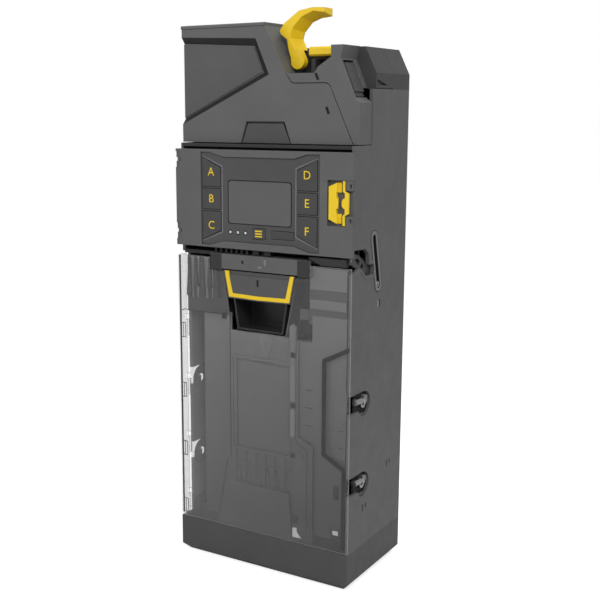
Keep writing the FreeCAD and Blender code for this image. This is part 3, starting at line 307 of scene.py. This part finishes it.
# %% [markdown]
# ## Glossy and clear plastics
# The display window and lamp lenses are polished.  The cover and the cassette's side plates are
# clear polycarbonate, a little smoky, with a faint haze and fine hanging scratches.  Seen square on
# they are almost gone; seen along the sheet they turn solid and bright.  A Layer Weight does that,
# feeding the alpha, which keeps light falling on the parts behind.

# %% Glossy plastics
def polished(name, level, rough, coat=0.0, patch=0.03):
    """Glossy plastic with faint clouds and finger smears."""
    base = tone(level)
    finish, tree, shader = start_finish(name, Coat_Weight=coat, Coat_Roughness=0.06)
    cloud = noise(tree, 60.0, 3.0)
    darker = tuple(c * (1.0 - patch) for c in base[:3]) + (1.0,)
    colour = blend_colour(tree, spread(tree, cloud.outputs["Fac"], 0.0, 1.0), darker, base)
    normal, colour = rounded_highlit_worn_edges(tree, colour, tuple(min(1.0, c * 1.4) for c in base[:3]) + (1.0,), 0.3 * mm)
    tree.links.new(colour, shader.inputs["Base Color"])
    tree.links.new(normal, shader.inputs["Normal"])
    smear = noise(tree, 120.0, 5.0, 0.7)
    tree.links.new(spread(tree, smear.outputs["Fac"], rough, rough + 0.1), shader.inputs["Roughness"])
    return finish


def clear_sheet(name, level, face_on, edge_on, rough):
    """Smoky clear sheet: face_on and edge_on are how solid it looks from the two ways."""
    finish, tree, shader = start_finish(name, Specular_IOR_Level=0.5, IOR=1.58)
    shader.inputs["Base Color"].default_value = tone(level)
    weight = add(tree, "LayerWeight", Blend=0.32)
    haze = noise(tree, 30.0, 4.0)
    solid = spread(tree, weight.outputs["Facing"], face_on, edge_on, 0.12, 0.95)
    cloudy = spread(tree, haze.outputs["Fac"], 0.92, 1.1)
    alpha = add(tree, "Math", operation="MULTIPLY", use_clamp=True)
    tree.links.new(solid, alpha.inputs[0])
    tree.links.new(cloudy, alpha.inputs[1])
    tree.links.new(alpha.outputs[0], shader.inputs["Alpha"])
    scratches = noise(tree, 420.0, 6.0, 0.7, stretch=(6.0, 6.0, 0.35))
    tree.links.new(spread(tree, scratches.outputs["Fac"], rough, rough + 0.12, 0.45, 0.8),
                   shader.inputs["Roughness"])
    bevel = add(tree, "Bevel", Radius=0.4 * mm)
    tree.links.new(bevel.outputs["Normal"], shader.inputs["Normal"])
    return finish


finishes["screen_grey"] = polished("screen_grey", 88, 0.16, 0.3)
finishes["white_plastic"] = polished("white_plastic", 205, 0.25, 0.2)
finishes["tube_black"] = polished("tube_black", 34, 0.22)
finishes["clear_plastic"] = clear_sheet("clear_plastic", 190, 0.07, 0.85, 0.05)
print("polished and clear finishes added:", len(finishes))


# %% [markdown]
# ## Metals, windings and boards
# Pins and screws are plain steel, drawn along their length.  A coil is enamelled wire, so its
# finish is a fine wave round the winding with a copper colour.  The boards are green solder mask
# over tracks, which a Voronoi edge pattern gives at the right scale.

# %% Steel
def drawn_steel(name):
    """Bright steel with a fine lengthwise grain."""
    finish, tree, shader = start_finish(name, Metallic=1.0, Anisotropic=0.4)
    grain = noise(tree, 300.0, 4.0, 0.6, stretch=(1.0, 8.0, 1.0))
    colour = blend_colour(tree, spread(tree, grain.outputs["Fac"], 0.0, 1.0), tone(150), tone(188))
    normal, colour = rounded_highlit_worn_edges(tree, colour, tone(215), 0.3 * mm)
    tree.links.new(colour, shader.inputs["Base Color"])
    tree.links.new(spread(tree, grain.outputs["Fac"], 0.24, 0.42), shader.inputs["Roughness"])
    bump = add(tree, "Bump", {"Height": grain.outputs["Fac"], "Normal": normal},
               Strength=0.3, Distance=0.02 * mm)
    tree.links.new(bump.outputs["Normal"], shader.inputs["Normal"])
    return finish


# %% Windings and boards
def wound_wire(name):
    """Enamelled copper wire, laid turn beside turn."""
    finish, tree, shader = start_finish(name, Metallic=0.8, Coat_Weight=0.4)
    place = add(tree, "TexCoord").outputs["Object"]
    wave = add(tree, "TexWave", {"Vector": place}, Scale=420.0, Distortion=0.6, Detail=2.0)
    colour = blend_colour(tree, wave.outputs["Fac"], tone((96, 46, 18)), tone((196, 118, 58)))
    tree.links.new(colour, shader.inputs["Base Color"])
    bump = add(tree, "Bump", {"Height": wave.outputs["Fac"]}, Strength=0.7, Distance=0.15 * mm)
    tree.links.new(bump.outputs["Normal"], shader.inputs["Normal"])
    shader.inputs["Roughness"].default_value = 0.35
    return finish


def solder_mask(name):
    """Green lacquer over a circuit board's raised tracks."""
    finish, tree, shader = start_finish(name, Coat_Weight=0.3, Coat_Roughness=0.15)
    place = add(tree, "TexCoord").outputs["Object"]
    tracks = add(tree, "TexVoronoi", {"Vector": place}, feature="DISTANCE_TO_EDGE", Scale=260.0)
    lane = spread(tree, tracks.outputs["Distance"], 1.0, 0.0, 0.02, 0.05)
    colour = blend_colour(tree, lane, tone((14, 66, 34)), tone((34, 104, 56)))
    tree.links.new(colour, shader.inputs["Base Color"])
    bump = add(tree, "Bump", {"Height": lane}, Strength=0.4, Distance=0.04 * mm)
    tree.links.new(bump.outputs["Normal"], shader.inputs["Normal"])
    shader.inputs["Roughness"].default_value = 0.32
    return finish


finishes["steel"] = drawn_steel("steel")
finishes["coil_copper"] = wound_wire("coil_copper")
finishes["board_green"] = solder_mask("board_green")
print("all finishes:", len(finishes))

# %% [markdown]
# ## Finishes onto the CAD parts
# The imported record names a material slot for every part, so most parts simply take the finish of
# their slot.  A few parts share a slot but look different on the real thing, such as the keys,
# which are smoother than the panel round them, and those are named one by one.

# %% Assign finishes
own_finish = {"recess_panel": "recess_grey", "finger_pocket": "pocket_shade_black",
              "cassette_handle": "recess_grey", "front_panel": "pale_grey",
              "acceptor_cover": "recess_cover_painted_shade", "cassette_block": "cassette_grey",
              "side_rail": "pale_grey", "menu_button": "key_grey", "select_button": "key_grey"}
own_finish.update({"button_" + letter: "key_grey" for letter in "abcdef"})
slot_of = {part["node"]: part["material_slot"] for part in frame["record"]["subparts"]}
for name, part in nodes.items():
    finish = finishes[own_finish.get(name, slot_of[name])]
    if not part.material_slots:
        part.data.materials.append(finish)
    for material_slot in part.material_slots:
        material_slot.material = finish
print("finished", len(nodes), "CAD parts")


# %% [markdown]
# ## Adding pieces
# A new piece starts as a bmesh in millimetres in the changer's own frame.  One helper scales it to
# metres, mends its normals, gives it a finish and hangs it on the body it moves with.

# %% Piece helpers
def add_piece(name, shape, body, slot, finish=None):
    """Turns a bmesh in millimetres into a finished piece riding on a body; frees the bmesh."""
    bmesh.ops.scale(shape, verts=shape.verts, vec=(mm, mm, mm))
    bmesh.ops.recalc_face_normals(shape, faces=shape.faces)
    mesh = bpy.data.meshes.new(name)
    shape.to_mesh(mesh)
    shape.free()
    mesh.materials.append(finishes[finish or slot])
    piece = bpy.data.objects.new(name, mesh)
    bpy.context.scene.collection.objects.link(piece)
    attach(piece, body)
    print(name, "rides", body, "with", len(mesh.polygons), "faces")


def plate(shape, outline, front, back, soften=0.0):
    """A flat plate: an outline of (x, z) points pulled from front to back along y."""
    corners = [shape.verts.new((x, front, z)) for x, z in outline]
    face = shape.faces.new(corners)
    pulled = bmesh.ops.extrude_face_region(shape, geom=[face])["geom"]
    moved = [v for v in pulled if isinstance(v, bmesh.types.BMVert)]
    bmesh.ops.translate(shape, verts=moved, vec=(0.0, back - front, 0.0))
    if soften:
        rim = [e for e in shape.edges if all(v in corners for v in e.verts)]
        bmesh.ops.bevel(shape, geom=rim, offset=soften, segments=2, profile=0.5,
                        affect="EDGES", material=-1)


def block(shape, x0, x1, y0, y1, z0, z1, soften=0.0):
    """A box between two corners, with its front edges softened if asked."""
    plate(shape, [(x0, z0), (x1, z0), (x1, z1), (x0, z1)], y0, y1, soften)


def box_mm(node):
    """Lowest and highest corners of a CAD part, in millimetres."""
    low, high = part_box(node)
    return low / mm, high / mm


print("piece helpers ready")

# %% [markdown]
# ## Letters on the keys
# The six product keys carry the letters A to F, pad-printed in yellow.  Each letter is a text
# object made into a mesh with a little thickness, stood upright, and set just proud of its key.
# It rides on its own key, so it goes in when the key is pressed.

# %% Key letters
letter_height = 5.6
print_depth = 0.06


def letter_mesh(letter):
    """A letter as an upright bmesh in millimetres, centred on the origin."""
    text = bpy.data.curves.new("letter", "FONT")
    text.body, text.size, text.extrude = letter, letter_height / 0.72, print_depth / 2
    text.align_x, text.align_y, text.offset = "CENTER", "CENTER", 0.03
    text.resolution_u = 4
    holder = bpy.data.objects.new("letter", text)
    bpy.context.scene.collection.objects.link(holder)
    mesh = bpy.data.meshes.new_from_object(holder)
    bpy.data.objects.remove(holder)
    shape = bmesh.new()
    shape.from_mesh(mesh)
    bpy.data.meshes.remove(mesh)
    bmesh.ops.remove_doubles(shape, verts=shape.verts, dist=0.001)
    bmesh.ops.rotate(shape, verts=shape.verts, cent=(0, 0, 0), matrix=Matrix.Rotation(math.pi / 2, 3, "X"))
    return shape


letter_places = {"a": -39.3, "b": -39.3, "c": -39.3, "d": 35.3, "e": 35.3, "f": 35.3}
for key, x in letter_places.items():
    low, high = box_mm("button_" + key)
    shape = letter_mesh(key.upper())
    z = (low.z + high.z) / 2
    bmesh.ops.translate(shape, verts=shape.verts, vec=(x, low.y - print_depth / 2 + 0.01, z))
    add_piece("letter_" + key, shape, "button_" + key, "signal_yellow")

# %% [markdown]
# ## The menu key's mark
# Three short yellow bars, one above another, printed on the small square key.

# %% Menu mark
low, high = box_mm("menu_button")
centre_x, centre_z = (low.x + high.x) / 2, (low.z + high.z) / 2
shape = bmesh.new()
for step in (-1, 0, 1):
    z = centre_z + 1.75 * step
    block(shape, centre_x - 2.7, centre_x + 2.7, low.y - 0.05, low.y + 0.02, z - 0.48, z + 0.48)
add_piece("menu_mark", shape, "menu_button", "signal_yellow")

# %% [markdown]
# ## Rims round the keys
# Each column of keys sits in a shallow well with a rounded lip; the lip is a pale band, a painted
# highlight where it catches the light.  A band helper turns two matching rows of points into one
# flat strip, which suits lips, printed lines and the marks on the clear cover.

# %% Band helper and key lips
def band(shape, outer, inner, front, back):
    """A flat strip between two rows of (x, z) points."""
    plate(shape, outer + inner[::-1], front, back)


panel_face = box_mm("keypad_panel")[0].y
left_low, left_high = box_mm("button_c")[0], box_mm("button_a")[1]
right_low, right_high = box_mm("button_f")[0], box_mm("button_d")[1]
for name, near, far, low_z, high_z in (
        ("key_lip_left", left_high.x, left_low.x, left_low.z, left_high.z),
        ("key_lip_right", right_low.x, right_high.x, right_low.z, right_high.z)):
    away = 1.0 if far > near else -1.0
    outer = [(far, high_z + 0.9), (near - 0.9 * away, high_z - 5.8),
             (near - 0.9 * away, low_z + 5.8), (far, low_z - 0.9)]
    inner = [(far, high_z + 0.45), (near - 0.2 * away, high_z - 6.3),
             (near - 0.2 * away, low_z + 6.3), (far, low_z - 0.45)]
    shape = bmesh.new()
    band(shape, outer, inner, panel_face - 0.1, panel_face + 0.2)
    add_piece(name, shape, "door", "panel_grey", "highlight_grey")

# %% [markdown]
# ## Rings and long holes
# A ring is two circles bridged and pulled; a long hole's lining is the same ring with one half of
# its points moved along the slot.  A small frame matrix stands the flat ring up on a wall.

# %% Ring helper and lamp rings
def stand(origin, up, out):
    """A matrix with y along up and z along out."""
    up, out = Vector(up).normalized(), Vector(out).normalized()
    turn = Matrix((up.cross(out), up, out)).transposed().to_4x4()
    return Matrix.Translation(Vector(origin)) @ turn


def ring(shape, place, inside, outside, depth, reach=0.0, sides=32):
    """A flat ring in the matrix's plane, pulled along its z; reach stretches it along y."""
    loops = [bmesh.ops.create_circle(shape, segments=sides, radius=r)["verts"] for r in (inside, outside)]
    verts = loops[0] + loops[1]
    upper = [v for v in verts if v.co.y > 1e-6]
    bmesh.ops.translate(shape, verts=upper, vec=(0.0, reach, 0.0))
    edges = list({e for v in verts for e in v.link_edges})
    faces = bmesh.ops.bridge_loops(shape, edges=edges)["faces"]
    pulled = bmesh.ops.extrude_face_region(shape, geom=faces)["geom"]
    top = [v for v in pulled if isinstance(v, bmesh.types.BMVert)]
    bmesh.ops.translate(shape, verts=top, vec=(0.0, 0.0, depth))
    bmesh.ops.transform(shape, matrix=place, verts=list(set(verts + top)))


def rod(shape, start, end, radius, sides=24, tip=None):
    """A round bar between two points; tip is the radius of its far end."""
    start, end = Vector(start), Vector(end)
    run = end - start
    place = Matrix.Translation((start + end) / 2) @ run.to_track_quat("Z", "Y").to_matrix().to_4x4()
    bmesh.ops.create_cone(shape, cap_ends=True, segments=sides, radius1=radius,
                          radius2=radius if tip is None else tip, depth=run.length, matrix=place)


lamp_low, lamp_high = box_mm("status_lamps")
lamp_radius = (lamp_high.z - lamp_low.z) / 2
lamp_z = (lamp_low.z + lamp_high.z) / 2
lamp_first, lamp_last = lamp_low.x + lamp_radius, lamp_high.x - lamp_radius
shape = bmesh.new()
for i in range(3):
    x = lamp_first + (lamp_last - lamp_first) * i / 2
    ring(shape, stand((x, lamp_low.y + 0.05, lamp_z), (0, 0, 1), (0, -1, 0)), 0.95, 1.5, 0.15)
add_piece("lamp_rings", shape, "door", "dark_grey", "shade_black")

# %% [markdown]
# ## Edge of the display
# A thin dark gasket frames the display's glass.  Two closed rows of points are bridged into a flat
# frame, which is then pulled forwards a little.

# %% Display gasket
def frame_band(shape, outer, inner, front, back):
    """A flat closed frame between two closed rows of (x, z) points."""
    edges = []
    for row in (outer, inner):
        verts = [shape.verts.new((x, front, z)) for x, z in row]
        edges += [shape.edges.new((a, b)) for a, b in zip(verts, verts[1:] + verts[:1])]
    faces = bmesh.ops.bridge_loops(shape, edges=edges)["faces"]
    pulled = bmesh.ops.extrude_face_region(shape, geom=faces)["geom"]
    moved = [v for v in pulled if isinstance(v, bmesh.types.BMVert)]
    bmesh.ops.translate(shape, verts=moved, vec=(0.0, back - front, 0.0))


glass_low, glass_high = box_mm("display_window")
shape = bmesh.new()
corner = 1.2
outer = [(glass_low.x - 0.1, glass_low.z + corner), (glass_low.x - 0.1, glass_high.z - corner),
         (glass_low.x + corner, glass_high.z + 0.1), (glass_high.x - corner, glass_high.z + 0.1),
         (glass_high.x + 0.1, glass_high.z - corner), (glass_high.x + 0.1, glass_low.z + corner),
         (glass_high.x - corner, glass_low.z - 0.1), (glass_low.x + corner, glass_low.z - 0.1)]
centre_x, centre_z = (glass_low.x + glass_high.x) / 2, (glass_low.z + glass_high.z) / 2
inner = [(x + (0.55 if x < centre_x else -0.55), z + (0.55 if z < centre_z else -0.55)) for x, z in outer]
frame_band(shape, outer, inner, glass_low.y - 0.06, glass_low.y + 0.05)
add_piece("display_edge", shape, "door", "dark_grey", "shade_black")

# %% [markdown]
# ## Painted shade in the side wall's holes
# The long slot for the release peg, the small letterbox below it and the two key slots are holes
# in a thin wall with a dark space behind.  A thin black lining on their edges is painted shade that
# keeps them as deep as they look on the real wall, and a paler raised lip runs round the long slot,
# its pale tone a painted highlight.

# %% Slot lining and lip
outer_face = box_mm("housing_right")[1].x
inner_face = outer_face - 2.8
slot_foot, slot_top = Vector((0, -1.6, 204.5)), Vector((0, -8.9, 236.5))
reach = (slot_top - slot_foot).length
shape = bmesh.new()
place = stand((inner_face, slot_foot.y, slot_foot.z), slot_top - slot_foot, (1, 0, 0))
ring(shape, place, 2.02, 2.19, 2.7, reach)
# An outer dark ring round the lip is painted shade in its groove.
rim_place = stand((outer_face - 0.02, slot_foot.y, slot_foot.z), slot_top - slot_foot, (1, 0, 0))
ring(shape, rim_place, 4.55, 4.95, 0.06, reach)
add_piece("slot_shade_lining", shape, "housing", "dark_grey", "shade_black")
shape = bmesh.new()
ring(shape, rim_place, 2.25, 4.5, 0.08, reach)
add_piece("slot_lip_highlight", shape, "housing", "housing_grey", "highlight_grey")

# %% Letterbox, slits and acceptor holes
shape = bmesh.new()
block(shape, inner_face + 0.4, inner_face + 0.5, -1.1, 2.9, 189.0, 194.0)
for y, z in ((20.3, 73.9), (-16.2, 53.1)):
    for dy, low_z in ((-2.2, 2.6), (2.2, 0.8)):
        block(shape, inner_face + 1.2, inner_face + 1.3, y + dy - 0.8, y + dy + 0.8, z - low_z, z + 2.6)
add_piece("wall_hole_shades", shape, "housing", "dark_grey", "shade_black")
shape = bmesh.new()
block(shape, outer_face - 1.0, outer_face - 0.8, -1.05, 0.6, 189.1, 193.9)
add_piece("wall_hole_glint", shape, "housing", "white_plastic")
cover_face = box_mm("acceptor_cover")[0].y
slant = Matrix.Rotation(math.radians(-24), 3, "Y")
shape = bmesh.new()
for x, z in ((45.2, 318.0), (37.3, 339.0)):
    start = len(shape.verts)
    block(shape, x - 0.95, x + 0.95, cover_face + 0.5, cover_face + 0.6, z - 2.25, z + 2.25)
    shape.verts.ensure_lookup_table()
    bmesh.ops.rotate(shape, verts=shape.verts[start:], cent=(x, 0, z), matrix=slant)
add_piece("acceptor_hole_shades", shape, "housing", "dark_grey", "shade_black")

# %% [markdown]
# ## Keys that hold the cassette
# Round pins on the cassette's clear side plates run in the key slots of the wall.  Behind each pin
# a thin black sheet is painted shade that makes the slot look deep, and a short bright bar leads to
# the pin's polished head.

# %% Cassette keys
key_heights = (73.0, 129.3)
shade_x = 65.22
shade_sheets, bright = bmesh.new(), bmesh.new()
for z in key_heights:
    for side in (1, -1):
        first, last = (shade_x * side, (shade_x + 0.12) * side)
        if side > 0:
            block(shade_sheets, first, last, -29.0, -9.4, z - 9.8, z + 6.6)
            rod(bright, (66.0, -28.6, z + 0.2), (66.0, -20.4, z - 0.4), 2.3)
            ring(bright, stand((65.6, -18.2, z - 2.6), (0, 0, 1), (1, 0, 0)), 1.6, 3.2, 1.6)
        else:
            place = stand((last, -19.0, z - 3.0), (0, 0, 1), (1, 0, 0))
            ring(shade_sheets, place, 2.9, 9.4, 0.12)
            block(shade_sheets, first, last, -28.4, -18.6, z - 6.6, z - 1.4)
            block(shade_sheets, first, last, -20.4, -8.4, z + 3.6, z + 7.4)
add_piece("key_shades", shade_sheets, "cassette", "dark_grey", "shade_black")
add_piece("key_bars", bright, "cassette", "steel")

# %% [markdown]
# ## Marks on the clear cover
# The cover carries a moulded outline on the right, with a rib that runs down to its foot, a
# seam line at the left, a hinge edge and outlines round the four hinge knuckles, all drawn as dark
# bands: painted shade along these ridges and edges.  They lie on the inner face of the sheet, where
# they are safe from fingers.

# %% Cover marks
sheet_low, sheet_high = box_mm("clear_cover")
inside = sheet_low.y + 1.5
shape = bmesh.new()
band(shape, [(67.0, 168.6), (47.1, 158.4), (47.1, 92.6), (62.4, 84.0), (62.4, 29.0)],
     [(67.0, 165.4), (50.2, 156.6), (50.2, 94.6), (65.6, 85.8), (65.6, 29.0)], inside, inside + 0.25)
add_piece("cover_outline_shade", shape, "cover", "dark_grey", "shade_black")
shape = bmesh.new()
band(shape, [(-67.6, 179.4), (-63.4, 181.1), (-61.0, 180.6), (-31.6, 180.6)],
     [(-67.6, 178.9), (-63.2, 180.5), (-61.0, 180.0), (-31.6, 180.0)], inside, inside + 0.12)
block(shape, -32.2, -28.2, inside, inside + 0.12, 177.2, 181.6)
block(shape, sheet_low.x + 0.2, sheet_low.x + 1.7, inside, inside + 0.2, 28.2, sheet_high.z - 0.6)
knuckle_heights = (34.2, 78.0, 121.7, 165.5)
for z in knuckle_heights:
    outline = [(-68.0, z - 5.4), (-63.2, z - 5.4), (-63.2, z + 5.4), (-68.0, z + 5.4)]
    inset = [(x + (0.5 if x < -65 else -0.5), h + (0.5 if h < z else -0.5)) for x, h in outline]
    band(shape, outline, inset, inside, inside + 0.15)
    block(shape, -65.6, -65.2, inside, inside + 0.15, z - 4.9, z + 4.9)
add_piece("cover_line_shades", shape, "cover", "dark_grey", "shade_black")

# %% [markdown]
# ## Small parts on the cassette's front
# Pale chute bars and the face behind them at the upper right, three beads on the rail, a sheet that
# closes the left bay, tapered coin fins above it, level marks, a sensor window, a white chip and a
# white wedge.  The bars, beads and fins take a pale grey that is a painted highlight, and the wedge
# is painted light, the backdrop seen through a gap.  Each is a slab with softened edges, which is how
# such parts are moulded.

# %% Chute bars and rail beads
plate_y = box_mm("side_rail")[1].y
chute_front, chute_back = -36.0, -35.4
shape = bmesh.new()
block(shape, 36.0, 63.0, chute_front, chute_back, 203.4, 218.2, 0.2)
block(shape, 36.0, 63.0, chute_front, chute_back, 190.5, 196.8, 0.2)
add_piece("chute_bars", shape, "cassette", "housing_grey", "highlight_grey")
shape = bmesh.new()
block(shape, 28.4, 35.0, chute_front, chute_back, 182.6, 189.6, 0.2)
block(shape, 35.2, 63.2, chute_back, chute_back + 0.5, 179.8, 218.3, 0.1)
add_piece("chute_face", shape, "cassette", "housing_grey", "recess_grey")
rail_front = box_mm("side_rail")[0].y + 0.5
shape = bmesh.new()
for low_z, high_z in ((160.4, 178.0), (126.2, 155.8), (101.6, 120.8)):
    block(shape, 22.6, 26.0, rail_front - 0.35, rail_front + 0.2, low_z, high_z, 0.25)
add_piece("rail_beads", shape, "cassette", "housing_grey", "highlight_grey")

# %% Bay sheet and coin fins
mark_y = plate_y + 0.2
bay_y = box_mm("front_panel")[0].y + 5.0
shape = bmesh.new()
block(shape, -51.0, -27.5, bay_y, bay_y + 0.8, 31.0, 181.0, 0.3)
add_piece("bay_sheet", shape, "cassette", "housing_grey", "pale_grey")
shape = bmesh.new()
band(shape, [(-30.2, 76.0), (-38.6, 29.0)], [(-29.4, 76.0), (-37.7, 29.0)], mark_y - 0.6, mark_y - 0.4)
band(shape, [(-27.6, 180.6), (-27.6, 78.0)], [(-26.9, 180.6), (-26.9, 78.0)], mark_y - 0.3, mark_y)
add_piece("foot_edges", shape, "cassette", "dark_grey", "shade_black")
shape = bmesh.new()
for x0, x1 in ((-60.0, -57.4), (-55.3, -52.9), (-49.0, -45.2), (-42.6, -40.8)):
    plate(shape, [(x0, 218.4), (x1, 218.4), (x1 - 0.7, 189.6), (x0 + 0.5, 189.6)], -36.2, -35.6, 0.15)
add_piece("coin_fins", shape, "cassette", "housing_grey", "highlight_grey")

# %% Marks, window and white patches
shape = bmesh.new()
for z in (135.1, 122.9, 110.6, 98.6):
    block(shape, 32.8, 38.4, mark_y - 0.12, mark_y + 0.05, z - 0.22, z + 0.22)
for x0, x1, z in ((58.6, 61.6, 110.8), (58.5, 61.4, 98.7), (51.2, 53.0, 110.6), (51.2, 53.0, 98.4)):
    block(shape, x0, x1, mark_y - 0.12, mark_y + 0.05, z - 0.25, z + 0.25)
block(shape, 54.9, 59.3, mark_y - 0.3, mark_y + 0.05, 62.7, 72.0)
block(shape, 53.0, 62.4, mark_y - 0.6, mark_y + 0.05, 33.6, 41.4, 0.3)
block(shape, 24.6, 29.2, rail_front - 0.4, rail_front + 0.1, 39.7, 45.2, 0.3)
for z in (158.2, 123.5, 88.4):
    block(shape, 22.8, 26.4, rail_front - 0.4, rail_front + 0.1, z - 1.7, z + 1.7, 0.2)
add_piece("rail_marks", shape, "cassette", "dark_grey", "shade_black")
# A white chip at the lower right, and a white wedge by the rail that is painted light: the white backdrop
# seen through a gap.
shape = bmesh.new()
block(shape, 55.0, 59.2, mark_y - 0.9, mark_y - 0.5, 37.4, 40.4, 0.3)
plate(shape, [(24.9, 36.4), (28.0, 37.0), (28.2, 34.0), (31.6, 30.0), (24.9, 29.9)],
      rail_front - 0.5, rail_front - 0.1, 0.1)
add_piece("white_chip_and_gap_light", shape, "cassette", "white_plastic")

# %% [markdown]
# ## Bar ends, hook and spout
# The cassette's top bar has darker end blocks, and two small pale blocks at its middle are a
# painted glint on the clip that holds it.  A clear tapered spout hangs from the finger pocket and
# guides the last coin.

# %% Bar ends and spout
bar_low, bar_high = box_mm("top_bar")
shape = bmesh.new()
for x0 in (bar_low.x + 0.1, bar_high.x - 9.3):
    block(shape, x0, x0 + 9.2, bar_low.y + 0.02, bar_low.y + 0.3, bar_low.z + 0.1, bar_high.z - 0.1, 0.2)
add_piece("bar_end_caps", shape, "cassette", "dark_grey")
shape = bmesh.new()
block(shape, -1.9, 1.2, bar_low.y - 0.25, bar_low.y + 0.1, 214.4, 216.0, 0.15)
block(shape, 2.6, 4.6, bar_low.y - 0.25, bar_low.y + 0.1, 216.6, 220.8, 0.15)
add_piece("bar_hook_glints", shape, "cassette", "white_plastic", "highlight_grey")
shape = bmesh.new()
rod(shape, (2.4, 0.0, 170.0), (2.4, 0.0, 153.8), 7.0, 24, 1.2)
bmesh.ops.scale(shape, verts=shape.verts, vec=(1.0, 0.16, 1.0))
bmesh.ops.translate(shape, verts=shape.verts, vec=(0.0, -37.7, 0.0))
add_piece("pocket_spout", shape, "cassette", "clear_plastic")

# %% [markdown]
# ## Contacts in the wiring socket
# The socket in the back takes the machine's harness.  Two rows of flat copper contacts lie along
# its tongue, one on each side.

# %% Socket pins
socket_low, socket_high = box_mm("harness_socket")
middle_x, middle_z = (socket_low.x + socket_high.x) / 2, (socket_low.z + socket_high.z) / 2
shape = bmesh.new()
for column in range(6):
    for row in (-1, 1):
        x, z = middle_x + 2.0 * (column - 2.5), middle_z + 0.75 * row
        block(shape, x - 0.35, x + 0.35, socket_high.y - 5.4, socket_high.y - 1.6, z - 0.12, z + 0.12)
add_piece("socket_pins", shape, "housing", "coil_copper")
